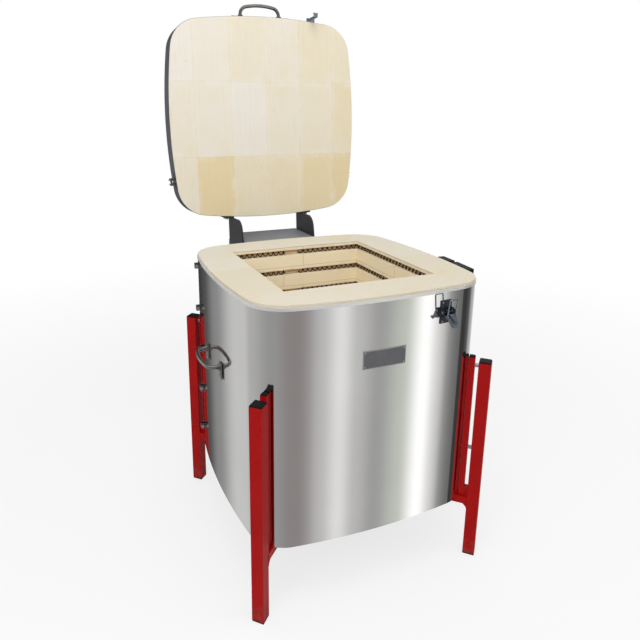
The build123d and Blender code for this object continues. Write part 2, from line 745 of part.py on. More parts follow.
latch_base = block(-half_base, half_base, -LATCH_SHEET, -0.02, base_low, base_high)
for way in (-1, 1):
    x0 = way * ear_inner
    x1 = way * half_base
    ear = block(min(x0, x1), max(x0, x1), pivot.Y, -LATCH_SHEET, pivot.Z - 12, pivot.Z + 8)
    ear += rod((x0, pivot.Y, pivot.Z), (x1, pivot.Y, pivot.Z), 13)
    latch_base += ear
latch_base -= rod((-30, pivot.Y, pivot.Z), (30, pivot.Y, pivot.Z), LEVER_PIN)
keep("latch_base", latch_base, latch_place)
for x in (-10, 10):
    for z in (base_low + 5, base_high - 5):
        fitting_screws.append(latch_place * rod((x, -LATCH_SHEET, z), (x, -LATCH_SHEET - 1.5, z), 5))

pin_end = half_base + 0.1
lever_pin = rod((-pin_end, pivot.Y, pivot.Z), (pin_end, pivot.Y, pivot.Z), LEVER_PIN)
for way in (-1, 1):
    head_end = way * (pin_end + 1.4)
    lever_pin += rod((way * pin_end, pivot.Y, pivot.Z), (head_end, pivot.Y, pivot.Z), LEVER_PIN + 3)
keep("latch_lever_pin", lever_pin, latch_place)

open_rest = Pos(pivot.X, pivot.Y, pivot.Z) * Rot(-LEVER_REST_ANGLE, 0, 0) * Pos(-pivot.X, -pivot.Y, -pivot.Z)
lever_front = pivot.Y - LINK_OUT - 6
cheek_points = [
    (pivot.Y + 4.5, pivot.Z - 4),
    (pivot.Y + 4.5, pivot.Z + 4),
    (pivot.Y - 4.5, pivot.Z + 5.5),
    (lever_front, pivot.Z - 6),
    (lever_front, pivot.Z - LEVER_LENGTH),
    (lever_front + 4, pivot.Z - LEVER_LENGTH),
    (link.Y + 5, link.Z - 5),
]
cheek_face = Face(Wire.make_polygon([Vector(0, y, z) for y, z in cheek_points]))
lever = None
for way in (-1, 1):
    inner = way * (LEVER_HALF_WIDTH - LEVER_SHEET)
    cheek = Pos(inner, 0, 0) * Solid.extrude(cheek_face, Vector(way * LEVER_SHEET, 0, 0))
    lever = cheek if lever is None else lever + cheek
front_top = pivot.Z - 8
lip_low = pivot.Z - LEVER_LENGTH
lever_inside = lever_front + LEVER_SHEET
half_lever = LEVER_HALF_WIDTH
lever += block(-half_lever, half_lever, lever_front, lever_inside, lip_low, front_top)
lever += block(-half_lever, half_lever, lever_front - 6, lever_inside, lip_low, lip_low + LEVER_SHEET)
lever -= rod((-30, pivot.Y, pivot.Z), (30, pivot.Y, pivot.Z), LEVER_PIN + 2 * LATCH_CLEARANCE)
lever -= rod((-30, link.Y, link.Z), (30, link.Y, link.Z), BAIL_WIRE)
keep("latch_lever", lever, latch_place * open_rest)

link_end = BAIL_HALF_WIDTH + BAIL_WIRE / 2 + 0.15
bail_pin = rod((-link_end, link.Y, link.Z), (link_end, link.Y, link.Z), BAIL_WIRE)
keep("latch_bail_pin", bail_pin, latch_place * open_rest)

bail_points = [
    (-BAIL_HALF_WIDTH, link.Y, link.Z + 3),
    (-BAIL_HALF_WIDTH, link.Y, link.Z + BAIL_LENGTH),
    (BAIL_HALF_WIDTH, link.Y, link.Z + BAIL_LENGTH),
    (BAIL_HALF_WIDTH, link.Y, link.Z + 3),
]
bail_path = FilletPolyline(*bail_points, radius=BAIL_BEND_RADIUS)
bail = sweep(Plane(origin=bail_points[0], z_dir=(0, 0, 1)) * Circle(BAIL_WIRE / 2), path=bail_path)
for way in (-1, 1):
    inner = way * (BAIL_HALF_WIDTH - BAIL_WIRE / 2 + 0.3)
    outer = way * (BAIL_HALF_WIDTH + BAIL_WIRE / 2 - 0.3)
    bail += rod((inner, link.Y, link.Z), (outer, link.Y, link.Z), 2 * BAIL_WIRE + 1)
bail -= rod((-30, link.Y, link.Z), (30, link.Y, link.Z), BAIL_WIRE + 2 * LATCH_CLEARANCE)
bail_turn = LEVER_REST_ANGLE * BAIL_RATIO
bail_rest = open_rest * Pos(link.X, link.Y, link.Z) * Rot(-bail_turn, 0, 0) * Pos(-link.X, -link.Y, -link.Z)
keep("latch_bail", bail, latch_place * bail_rest)

# Lid, built closed on the rim and then swung open about the hinge axle

lid_open = Pos(0, hinge_y, hinge_z) * Rot(-LID_OPEN_ANGLE, 0, 0) * Pos(0, -hinge_y, -hinge_z)
lid_bricks = brick_grid(LID_BAND_THICKNESS, lid_under, lid_cover_bottom, LID_COLUMN_OFFSET)
keep("lid_bricks", lid_bricks, lid_open)
keep("lid_cover", outline_solid(LID_BAND_THICKNESS, lid_cover_bottom, lid_cover_top), lid_open)
band_low = lid_under + LID_BAND_RECESS
band = outline_ring(0, LID_BAND_THICKNESS, band_low, lid_top)
band += outline_ring(LID_BAND_THICKNESS, LID_BAND_LIP, lid_cover_top, lid_top)
lid_front_side = block(-reach, reach, -reach, JACKET_SPLIT_Y - JACKET_SPLIT_GAP / 2, rim, rim + 200)
lid_rear_side = block(-reach, reach, JACKET_SPLIT_Y + JACKET_SPLIT_GAP / 2, reach, rim, rim + 200)
keep("lid_band_front", band & lid_front_side, lid_open)
keep("lid_band_rear", band & lid_rear_side, lid_open)
band_clamps = []
band_middle = (band_low + lid_top) / 2
for side in (-1, 1):
    lugs, screw, nut = clamp(band_middle, 20, 16, 6)
    band_clamps.extend([at_side(side, JACKET_SPLIT_Y) * piece for piece in (*lugs, screw, nut)])
keep("lid_band_clamps", band_clamps, lid_open)

lid_screws = []
lid_handle_seat = Pos(0, -half_body, band_middle) * Rot(90, 0, 0)
keep("lid_handle", lid_handle_seat * bow, lid_open)
lid_plates = []
for way in (-1, 1):
    plate, screws = handle_plate(way, True)
    plate = lid_handle_seat * plate
    lid_plates.append(plate - outline_solid(0, band_low, lid_top))
    lid_screws.extend([lid_handle_seat * screw for screw in screws])
keep("lid_handle_plates", lid_plates, lid_open)

# Strike for the latch: a bent strip on the lid's band that hangs in front of the jacket

hook_y = link.Y
hook_floor = link.Z + BAIL_LENGTH - BAIL_WIRE / 2 - 0.3
strike_sheet = STRIKE_SHEET
hook_inner = hook_y + BAIL_WIRE / 2 + 4
hook_outer = hook_y - BAIL_WIRE / 2 - 3
ledge = band_low + 2
half_strike = STRIKE_WIDTH / 2
half_hook = BAIL_HALF_WIDTH - BAIL_BEND_RADIUS
strike = block(-half_strike, half_strike, -strike_sheet, -0.02, ledge, ledge + STRIKE_HEIGHT)
strike += block(-half_strike, half_strike, hook_inner - strike_sheet, -0.02, ledge, ledge + strike_sheet)
hook_low = hook_floor - strike_sheet
hook_tip = hook_outer - strike_sheet
strike += block(-half_hook, half_hook, hook_inner - strike_sheet, hook_inner, hook_low, ledge + strike_sheet)
strike += block(-half_hook, half_hook, hook_tip, hook_inner, hook_low, hook_floor)
strike += block(-half_hook, half_hook, hook_tip, hook_outer, hook_low, hook_floor + STRIKE_HOOK_LIP)
keep("latch_strike", at_front(LATCH_X) * strike, lid_open)
for x in (-8, 8):
    screw = rod((x, -strike_sheet, ledge + 24), (x, -strike_sheet - 1.6, ledge + 24), 5.5)
    lid_screws.append(at_front(LATCH_X) * screw)

# Hinge: a bent bracket on the body, an axle through it, and two arms bolted to the lid's band

arm_face_y = face_y(ARM_X + ARM_THICKNESS / 2)
arm_front = arm_face_y + ARM_FLANGE_THICKNESS - hinge_y
arm_top = lid_top - ARM_TOP_BELOW_LID_TOP - hinge_z
shoulder_reach = sqrt(ARM_SHOULDER ** 2 + arm_top ** 2)
tangent_angle = atan2(arm_top, -ARM_SHOULDER) - acos(ARM_END_RADIUS / shoulder_reach)
tangent = Vector(ARM_END_RADIUS * cos(tangent_angle), ARM_END_RADIUS * sin(tangent_angle))
across = Vector(arm_front + ARM_FRONT_RADIUS, -ARM_FRONT_DROP)
lean = acos((ARM_END_RADIUS - ARM_FRONT_RADIUS) / across.length)
under_angle = atan2(across.Y, across.X) + lean
rear_under = Vector(ARM_END_RADIUS * cos(under_angle), ARM_END_RADIUS * sin(under_angle))
front_under = across + Vector(ARM_FRONT_RADIUS * cos(under_angle), ARM_FRONT_RADIUS * sin(under_angle))
front_side_point = across + Vector(-ARM_FRONT_RADIUS, 0)
bend_angle = (under_angle % (2 * pi) + pi) / 2
front_bend = across + Vector(ARM_FRONT_RADIUS * cos(bend_angle), ARM_FRONT_RADIUS * sin(bend_angle))
end_angle = (tangent_angle + under_angle % (2 * pi) - 2 * pi) / 2
end_middle = Vector(ARM_END_RADIUS * cos(end_angle), ARM_END_RADIUS * sin(end_angle))
top_front = Vector(arm_front, arm_top)
top_shoulder = Vector(-ARM_SHOULDER, arm_top)
arm_edges = [
    Line(top_front, top_shoulder),
    Line(top_shoulder, tangent),
    ThreePointArc(tangent, end_middle, rear_under),
    Line(rear_under, front_under),
    ThreePointArc(front_under, front_bend, front_side_point),
    Line(front_side_point, top_front),
]
arm_profile = Face(Wire(arm_edges))
arm_plane = Plane(origin=(0, hinge_y, hinge_z), x_dir=(0, 1, 0), z_dir=(1, 0, 0))
arm_bolts = []
axle_bore = AXLE_DIAMETER + 2 * AXLE_CLEARANCE
for side, name in ((-1, "left"), (1, "right")):
    arm_inner = ARM_X * side
    arm = arm_plane * extrude(arm_profile, ARM_THICKNESS, dir=(0, 0, side))
    arm = Pos(arm_inner, 0, 0) * arm
    flange = outline_ring(-ARM_FLANGE_THICKNESS, 0, band_low + 2, hinge_z + arm_top)
    x0 = arm_inner
    x1 = side * (ARM_X + ARM_FLANGE_WIDTH)
    flange &= block(min(x0, x1), max(x0, x1), 250, reach, band_low, lid_top)
    arm = arm - outline_solid(0, band_low - 1, lid_top + 1)
    arm = arm + flange
    arm -= rod((arm_inner - 20, hinge_y, hinge_z), (arm_inner + 20, hinge_y, hinge_z), axle_bore)
    keep("lid_arm_" + name, arm, lid_open)
    bolt_x = side * (ARM_X + ARM_THICKNESS + 15)
    for z in (band_low + 14, hinge_z + arm_top - 12):
        bolt = hexagon((0, -ARM_FLANGE_THICKNESS, z), (0, -ARM_FLANGE_THICKNESS - 5.5, z), 10)
        arm_bolts.append(at_rear(bolt_x) * bolt)
keep("lid_arm_bolts", arm_bolts, lid_open)
keep("lid_fitting_screws", lid_screws, lid_open)

bracket_top = rim - BRACKET_TOP_BELOW_RIM
bracket_low = bracket_top - BRACKET_FLANGE_HEIGHT
bracket_back = half_body + BRACKET_DEPTH - 5
stop_top = rim - STOP_TOP_BELOW_RIM
stop_low = stop_top - STOP_HEIGHT
sheet = BRACKET_THICKNESS
half_width = BRACKET_HALF_WIDTH
bracket = block(-half_width, half_width, half_body - 10, bracket_back, bracket_top - sheet, bracket_top)
for way in (-1, 1):
    x0 = way * (half_width - sheet)
    x1 = way * half_width
    flange_left = min(x0, x1)
    flange_right = max(x0, x1)
    bracket += block(flange_left, flange_right, half_body - 10, bracket_back, bracket_low, bracket_top)
    x0 = way * (half_width - BRACKET_FOOT_WIDTH)
    foot_tab = outline_ring(-sheet, 0, bracket_low, bracket_top)
    bracket += foot_tab & block(min(x0, x1), max(x0, x1), 250, reach, 0, rim)
    stop_x = way * (half_width + STOP_WIDTH)
    stop_left = min(stop_x, x1)
    stop_right = max(stop_x, x1)
    bracket += block(stop_left, stop_right, bracket_back - sheet, bracket_back, stop_low, stop_top)
bracket -= outline_solid(0, 0, rim)
bracket -= outline_ring(-HEM_THICKNESS - 0.1, 0, jacket_top - HEM_HEIGHT - 0.1, jacket_top)
bracket -= rod((-200, hinge_y, hinge_z), (200, hinge_y, hinge_z), axle_bore)
keep("hinge_bracket", bracket)

rear_screws = []
bolt_x = half_width - sheet - 9
for way in (-1, 1):
    for z in (bracket_low + 12, bracket_top - 24):
        rear_screws.append(at_rear(way * bolt_x) * hexagon((0, -sheet, z), (0, -sheet - 5, z), 10))

axle_end = ARM_X + ARM_THICKNESS + 4
axle = rod((-axle_end, hinge_y, hinge_z), (axle_end, hinge_y, hinge_z), AXLE_DIAMETER)
keep("hinge_axle", axle)
washers = []
for way in (-1, 1):
    for start, end in ((half_width, ARM_X - 0.1), (ARM_X + ARM_THICKNESS + 0.1, axle_end - 1)):
        washer = rod((way * start, hinge_y, hinge_z), (way * end, hinge_y, hinge_z), WASHER_DIAMETER)
        washers.append(washer - axle)
keep("hinge_washers", washers)

# Rear connection box with vents and a cable gland in its floor

box = block(-BOX_HALF_WIDTH, BOX_HALF_WIDTH, half_body - 20, box_rear, BOX_BOTTOM, BOX_TOP)
inner = BOX_HALF_WIDTH - BOX_WALL
box -= block(-inner, inner, half_body - 30, box_rear - BOX_WALL, BOX_BOTTOM + BOX_WALL, BOX_TOP - BOX_WALL)
vent_start = (BOX_TOP + BOX_BOTTOM) / 2 - (BOX_VENTS - 1) * VENT_PITCH / 2
for row in (-1, 1):
    for index in range(BOX_VENTS):
        vent_z = vent_start + index * VENT_PITCH + row * 130
        slot = Pos(0, box_rear, vent_z) * Rot(90, 0, 0) * SlotOverall(VENT_WIDTH, VENT_HEIGHT)
        box -= extrude(slot, 10, both=True)
tab_outer = BOX_HALF_WIDTH + BOX_TAB_WIDTH
tab_top = bracket_low - 6
tabs = outline_ring(-BOX_WALL, 0, BOX_BOTTOM, tab_top)
tabs &= block(-tab_outer, tab_outer, 250, reach, BOX_BOTTOM, tab_top)
tabs -= block(-inner, inner, 250, reach, BOX_BOTTOM - 1, tab_top + 1)
box += tabs
box -= outline_solid(0, BOX_BOTTOM - 1, BOX_TOP + 1)
gland_y = half_body + BOX_DEPTH / 2
box -= rod((GLAND_X, gland_y, BOX_BOTTOM - 5), (GLAND_X, gland_y, BOX_BOTTOM + 5), GLAND_HOLE)
keep("connection_box", box)
for way in (-1, 1):
    screw_x = BOX_HALF_WIDTH + BOX_TAB_WIDTH / 2 + 1
    for z in (BOX_BOTTOM + 20, (BOX_BOTTOM + tab_top) / 2, tab_top - 20):
        rear_screws.append(at_rear(way * screw_x) * rod((0, -BOX_WALL, z), (0, -BOX_WALL - 2.4, z), 8))
keep("rear_fixing_screws", rear_screws)

gland = hexagon((GLAND_X, gland_y, BOX_BOTTOM - 6), (GLAND_X, gland_y, BOX_BOTTOM), GLAND_HEX)
gland += rod((GLAND_X, gland_y, BOX_BOTTOM), (GLAND_X, gland_y, BOX_BOTTOM + 9), GLAND_HOLE)
gland += rod((GLAND_X, gland_y, BOX_BOTTOM - 18), (GLAND_X, gland_y, BOX_BOTTOM - 6), GLAND_HEX - 4)
gland -= rod((GLAND_X, gland_y, BOX_BOTTOM - 30), (GLAND_X, gland_y, BOX_BOTTOM + 20), 11)
keep("cable_gland", gland)

# Lid switch and its plug box: two black housings on a strip beside the rim

switch_top = rim - SWITCH_TOP_BELOW_RIM
switch_low = switch_top - SWITCH_HEIGHT
switch_back = SWITCH_FRONT_Y + SWITCH_LENGTH
plug_front = switch_back + SWITCH_GAP
plug_back = plug_front + PLUG_LENGTH
strip = outline_ring(-SWITCH_BRACKET, 0, switch_low - 12, jacket_top - HEM_HEIGHT - 1)
strip &= block(200, reach, SWITCH_FRONT_Y, plug_back, 0, rim)
keep("lid_switch_bracket", strip)
housings = []
for start, end in ((SWITCH_FRONT_Y, switch_back), (plug_front, plug_back)):
    middle = (start + end) / 2
    length = end - start
    place = at_side(1, middle)
    shell = block(-length / 2, length / 2, -SWITCH_DEPTH - SWITCH_BRACKET, 5, switch_low, switch_top)
    shell = fillet(shell.edges().filter_by(Axis.Z).sort_by(Axis.Y)[:2], 4)
    shell = place * shell
    housings.append(shell - outline_solid(-SWITCH_BRACKET, switch_low - 1, switch_top + 1))
keep("lid_switch_housing", housings[0])
keep("switch_plug_box", housings[1])
keep("jacket_fitting_screws", fitting_screws)

# Move everything so that the origin is on the floor under the middle of the whole object

low = Vector(1e6, 1e6, 1e6)
high = Vector(-1e6, -1e6, -1e6)
for solids in parts.values():
    for solid in solids:
        bounds = solid.bounding_box()
        low = Vector(min(low.X, bounds.min.X), min(low.Y, bounds.min.Y), min(low.Z, bounds.min.Z))
        high = Vector(max(high.X, bounds.max.X), max(high.Y, bounds.max.Y), max(high.Z, bounds.max.Z))
origin = Pos(-(low.X + high.X) / 2, -(low.Y + high.Y) / 2, -low.Z)

os.makedirs("parts", exist_ok=True)
for name, solids in parts.items():
    moved = [origin * solid for solid in solids]
    export_step(Compound(moved), f"parts/{name}.step")


def report(name, place):
    """Print a point in the exported frame, in metres."""
    point = (origin * place).position
    print(name, round(point.X / 1000, 6), round(point.Y / 1000, 6), round(point.Z / 1000, 6))


print("nodes", len(parts))
print("size", high - low)
report("hinge axle", Pos(0, hinge_y, hinge_z))
report("lever pivot", latch_place * Pos(pivot.X, pivot.Y, pivot.Z))
report("bail pivot", latch_place * open_rest * Pos(link.X, link.Y, link.Z))
report("chamber floor centre", Pos(0, 0, floor_top))
report("rim centre", Pos(0, 0, rim))
print("latch turn", degrees(asin(LATCH_X / SIDE_BOW_RADIUS)))
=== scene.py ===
"""Looks of a square top-loading kiln: steel jacket, brick chamber, open brick lid, red stand.

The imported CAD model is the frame. Sizes are metres. +X is the kiln's right-hand side, -Y its
front and +Z up. The body's middle lies in front of the frame's origin, because the lid stands open.
"""

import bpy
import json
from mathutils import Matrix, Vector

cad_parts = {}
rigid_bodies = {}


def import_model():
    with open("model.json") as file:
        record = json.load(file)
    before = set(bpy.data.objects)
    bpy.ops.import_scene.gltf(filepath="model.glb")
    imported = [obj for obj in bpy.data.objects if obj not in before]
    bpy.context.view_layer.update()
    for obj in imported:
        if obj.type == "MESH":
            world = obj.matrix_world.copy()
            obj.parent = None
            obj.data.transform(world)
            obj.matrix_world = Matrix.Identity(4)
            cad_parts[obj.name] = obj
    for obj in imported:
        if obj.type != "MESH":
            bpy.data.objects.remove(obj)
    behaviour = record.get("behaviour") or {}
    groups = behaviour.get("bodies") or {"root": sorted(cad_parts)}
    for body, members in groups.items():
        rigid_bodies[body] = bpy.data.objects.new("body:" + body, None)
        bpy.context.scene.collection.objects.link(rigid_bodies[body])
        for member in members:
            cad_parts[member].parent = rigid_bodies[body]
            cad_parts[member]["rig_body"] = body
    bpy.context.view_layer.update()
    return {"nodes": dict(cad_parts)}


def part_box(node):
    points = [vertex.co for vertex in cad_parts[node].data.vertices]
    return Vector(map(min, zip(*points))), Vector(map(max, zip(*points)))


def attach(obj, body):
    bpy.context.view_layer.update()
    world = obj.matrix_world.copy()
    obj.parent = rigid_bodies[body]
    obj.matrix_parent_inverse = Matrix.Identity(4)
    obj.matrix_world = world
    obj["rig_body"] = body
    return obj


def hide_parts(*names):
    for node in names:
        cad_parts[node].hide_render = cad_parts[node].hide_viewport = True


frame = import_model()

import json
from math import cos, pi, radians, sin, sqrt
from random import Random

import bmesh
import bpy
from mathutils import Matrix, Vector

# Stand: four thick outer posts, four thin inner posts beside the jacket, and crossed beams under
# the body. Mild-steel square tube, sawn, welded and powder coated red. The coat has a slight
# orange peel, dust low down and a few rubbed spots.


class Value:
    """A number in a node tree. Arithmetic written with it adds Math nodes to that tree."""

    def __init__(self, tree, socket):
        self.tree = tree
        self.socket = socket

    def math(self, operation, *others):
        values = dict(enumerate((self, *others)))
        return self.tree.node("ShaderNodeMath", {"operation": operation}, values)

    def __add__(self, other):
        return self.math("ADD", other)

    __radd__ = __add__

    def __mul__(self, other):
        return self.math("MULTIPLY", other)

    def __sub__(self, other):
        return self.math("SUBTRACT", other)

    def __rsub__(self, other):
        return self.tree.node("ShaderNodeMath", {"operation": "SUBTRACT"}, {0: other, 1: self})

    def __truediv__(self, other):
        return self.math("DIVIDE", other)

    def __gt__(self, other):
        return self.math("GREATER_THAN", other)

    def __lt__(self, other):
        return self.math("LESS_THAN", other)

    def __abs__(self):
        return self.math("ABSOLUTE")

    def rise(self, start, end):
        """0 below start and 1 above end, with a smooth rise between them."""
        settings = {"interpolation_type": "SMOOTHSTEP"}
        values = {"Value": self, "From Min": start, "From Max": end}
        return self.tree.node("ShaderNodeMapRange", settings, values)


class Tree:
    """A node tree under construction, of a material, the world or a geometry modifier."""

    def __init__(self, nodes):
        self.nodes = nodes

    def node(self, kind, settings=None, values=None, output=0):
        """Adds a node: its settings first, then values or links for its sockets."""
        made = self.nodes.nodes.new(kind)
        for name, setting in (settings or {}).items():
            if name == "stops":
                ramp = made.color_ramp.elements
                while len(ramp) < len(setting):
                    ramp.new(0.5)
                for stop, (place, colour) in zip(ramp, setting):
                    stop.position = place
                    stop.color = colour
            elif name == "spread":
                made.color_ramp.interpolation = setting
            else:
                setattr(made, name, setting)
        for name, value in (values or {}).items():
            socket = made.inputs[name]
            if isinstance(value, Value):
                self.nodes.links.new(value.socket, socket)
            else:
                socket.default_value = value
        return Value(self, made.outputs[output]) if made.outputs else None

    def vector(self, operation, *vectors, **values):
        """Vector Math on vectors, colours or positions."""
        values = {**dict(enumerate(vectors)), **values}
        output = 1 if operation == "LENGTH" else 0
        return self.node("ShaderNodeVectorMath", {"operation": operation}, values, output)

    def split(self, vector):
        """The three numbers of a vector."""
        first = self.node("ShaderNodeSeparateXYZ", None, {0: vector})
        outputs = first.socket.node.outputs
        return [Value(self, socket) for socket in outputs]


def srgb(red, green, blue):
    """A colour as a picture program gives it, 0 to 255, made linear."""
    linear = []
    for part in (red, green, blue):
        share = part / 255
        linear.append(share / 12.92 if share <= 0.04045 else ((share + 0.055) / 1.055) ** 2.4)
    return (*linear, 1.0)


class Finish(Tree):
    """A material with one Principled surface and object coordinates in metres."""

    def __init__(self, name, **plain):
        self.material = bpy.data.materials.new(name)
        self.material.use_nodes = True
        super().__init__(self.material.node_tree)
        self.nodes.nodes.clear()
        self.surface = self.node("ShaderNodeBsdfPrincipled")
        self.node("ShaderNodeOutputMaterial", None, {"Surface": self.surface})
        self.place = self.node("ShaderNodeTexCoord", None, None, 3)
        self.set(**plain)

    def set(self, **links):
        """Feeds sockets of the surface."""
        for key, value in links.items():
            label = key.replace("_", " ").title().replace("Ior", "IOR")
            socket = self.surface.socket.node.inputs[label]
            if isinstance(value, Value):
                self.nodes.links.new(value.socket, socket)
            else:
                socket.default_value = value

    def noise(self, scale, detail=3.0, roughness=0.55, stretch=(1, 1, 1)):
        """Noise between 0 and 1. scale is its blobs per metre."""
        place = self.vector("MULTIPLY", self.place, tuple(scale * one for one in stretch))
        values = {"Vector": place, "Scale": 1.0, "Detail": detail, "Roughness": roughness}
        return self.node("ShaderNodeTexNoise", None, values)

    def cells(self, scale):
        """Distance from the nearest cell's middle. scale is the cells per metre."""
        values = {"Vector": self.place, "Scale": scale}
        return self.node("ShaderNodeTexVoronoi", None, values)

    def blend(self, share, first, second):
        """A colour between two colours."""
        settings = {"data_type": "RGBA", "blend_type": "MIX"}
        return self.node("ShaderNodeMix", settings, {0: share, 6: first, 7: second}, 2)

    def relief(self, height, strength, distance):
        """A Bump node. distance is the depth in metres."""
        values = {"Strength": strength, "Distance": distance, "Height": height}
        return self.node("ShaderNodeBump", None, values)


def closed_solids(name):
    """The solids of a CAD node in its own order, each as corner places and faces. Solids that
    touch stay apart: one ends where each of its edges has been met from both sides."""
    source = frame["nodes"][name].data
    solids, known, faces, waiting = [], {}, [], set()
    for face in source.polygons:
        loop = []
        for vertex in face.vertices:
            place = tuple(source.vertices[vertex].co)
            loop.append(known.setdefault(place, len(known)))
        for edge in zip(loop, loop[1:] + loop[:1]):
            if edge[::-1] in waiting:
                waiting.remove(edge[::-1])
            else:
                waiting.add(edge)
        faces.append(loop)
        if not waiting:
            solids.append((list(known), faces))
            known, faces = {}, []
    return solids


SHARP_EDGE = radians(35)
FLAT_EDGE = radians(0.5)


def eased(names, finish, width, steps=2, tone=None):
    """Copies CAD nodes with their sharp edges eased by a small round, and shows the copies.
    width is the round's size in metres. tone, if given, maps the middle of each solid to a
    number kept on its faces."""
    for name in names:
        corners, faces, shades = [], [], []
        for places, loops in closed_solids(name):
            faces += [[len(corners) + corner for corner in loop] for loop in loops]
            corners += places
            if tone is not None:
                low = Vector(map(min, zip(*places)))
                high = Vector(map(max, zip(*places)))
                shades += [tone((low + high) / 2)] * len(loops)
        mesh = bpy.data.meshes.new(name + "_finished")
        mesh.from_pydata(corners, [], faces)
        if tone is not None:
            mesh.attributes.new("tone", "FLOAT", "FACE").data.foreach_set("value", shades)
        shape = bmesh.new()
        shape.from_mesh(mesh)
        flat = {"angle_limit": FLAT_EDGE, "verts": shape.verts, "edges": shape.edges}
        bmesh.ops.dissolve_limit(shape, **flat)
        shape.to_mesh(mesh)
        shape.free()
        mesh.polygons.foreach_set("use_smooth", [True] * len(mesh.polygons))
        piece = bpy.data.objects.new(name + "_finished", mesh)
        bpy.context.scene.collection.objects.link(piece)
        bevel = piece.modifiers.new("eased_edges", "BEVEL")
        bevel.width = width
        bevel.segments = steps
        bevel.limit_method = "ANGLE"
        bevel.angle_limit = SHARP_EDGE
        bevel.use_clamp_overlap = True
        bevel.harden_normals = True
        bpy.context.view_layer.update()
        rounded = piece.evaluated_get(bpy.context.evaluated_depsgraph_get())
        piece.data = bpy.data.meshes.new_from_object(rounded)
        piece.modifiers.clear()
        piece.data.materials.clear()
        piece.data.materials.append(finish.material)
        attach(piece, frame["nodes"][name]["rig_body"])
        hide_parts(name)


def dress(names, finish):
    """Gives carried-over CAD nodes their finish."""
    for name in names:
        mesh = frame["nodes"][name].data
        mesh.materials.clear()
        mesh.materials.append(finish.material)


red_paint = Finish("red_powder_coat", specular_ior_level=0.07, coat_weight=0.03, coat_roughness=0.12)
height = red_paint.split(red_paint.place)[2]
peel = red_paint.noise(620, 2.0)
cloud = red_paint.noise(14, 4.0)
rubbed = red_paint.noise(95, 6.0, 0.7).rise(0.70, 0.76)
dust = (1 - height.rise(0.0, 0.075)) * red_paint.noise(60, 4.0).rise(0.35, 0.7)
coat = red_paint.blend(cloud, srgb(156, 12, 14), srgb(174, 20, 19))
coat = red_paint.blend(rubbed * 0.35, coat, srgb(110, 22, 20))
coat = red_paint.blend(dust * 0.45, coat, srgb(112, 84, 74))
red_paint.set(base_color=coat, roughness=0.30 + cloud * 0.10 + dust * 0.3 + rubbed * 0.15)
red_paint.set(normal=red_paint.relief(peel, 0.25, 0.0003))
legs = ["leg_front_left", "leg_front_right", "leg_rear_left", "leg_rear_right"]
eased(legs, red_paint, width=0.0028, steps=3)
thin_tubes = ["inner_posts", "base_beam_long", "base_beam_halves"]
eased(thin_tubes, red_paint, width=0.0014, steps=3)

# Post caps and foot plugs: moulded black polypropylene pushed into the ends of the tubes, with a
# fine spark-eroded grain and dull scuffs on the feet.

black_plastic = Finish("black_polypropylene", specular_ior_level=0.14)
grain = black_plastic.noise(2200, 2.0)
scuff = black_plastic.noise(130, 5.0, 0.7).rise(0.56, 0.72)
shade = black_plastic.blend(scuff * 0.5, srgb(17, 17, 19), srgb(44, 43, 42))
shade = black_plastic.blend(black_plastic.noise(25, 3.0) * 0.3, shade, srgb(28, 28, 30))
black_plastic.set(base_color=shade, roughness=0.42 + grain * 0.16 + scuff * 0.15)
black_plastic.set(normal=black_plastic.relief(grain, 0.3, 0.0002))
eased(["post_caps", "leg_foot_plugs"], black_plastic, width=0.0009)

# Studs and spacer sleeves between the posts: threaded rod with short lengths of tube over it, all
# bright zinc-plated steel. They bolt each thick post to its thin one.

plated_steel = Finish("bright_zinc_plate", metallic=1.0)
turning = plated_steel.noise(900, 3.0, 0.6, (1, 1, 0.15))
bloom = plated_steel.noise(55, 4.0)
shade = plated_steel.blend(bloom, srgb(176, 178, 182), srgb(212, 213, 214))
plated_steel.set(base_color=shade, roughness=0.20 + bloom * 0.14 + turning * 0.08)
plated_steel.set(normal=plated_steel.relief(turning, 0.15, 0.0001))
dress(["post_spacers", "post_studs"], plated_steel)

# Base: a galvanised pan lies on the beams and carries two boards of pressed fibre under the floor
# bricks. Only the pan's underside and edge show.

galvanised = Finish("galvanised_sheet", metallic=1.0)
spangle = galvanised.cells(120)
grey = galvanised.noise(18, 4.0)
shade = galvanised.blend(spangle, srgb(150, 153, 157), srgb(186, 188, 190))
shade = galvanised.blend(grey * 0.4, shade, srgb(128, 131, 136))
galvanised.set(base_color=shade, roughness=0.30 + spangle * 0.16 + grey * 0.1)
galvanised.set(normal=galvanised.relief(galvanised.noise(500, 2.0), 0.1, 0.0001))
dress(["base_pan"], galvanised)
fibre_board = Finish("pressed_fibre_board", roughness=0.95)
flake = fibre_board.noise(260, 5.0, 0.6, (1, 1, 3))
shade = fibre_board.blend(flake, srgb(206, 198, 180), srgb(232, 227, 214))
fibre_board.set(base_color=shade, roughness=0.86 + flake * 0.1)
fibre_board.set(normal=fibre_board.relief(flake, 0.4, 0.0006))
dress(["floor_insulation_boards"], fibre_board)
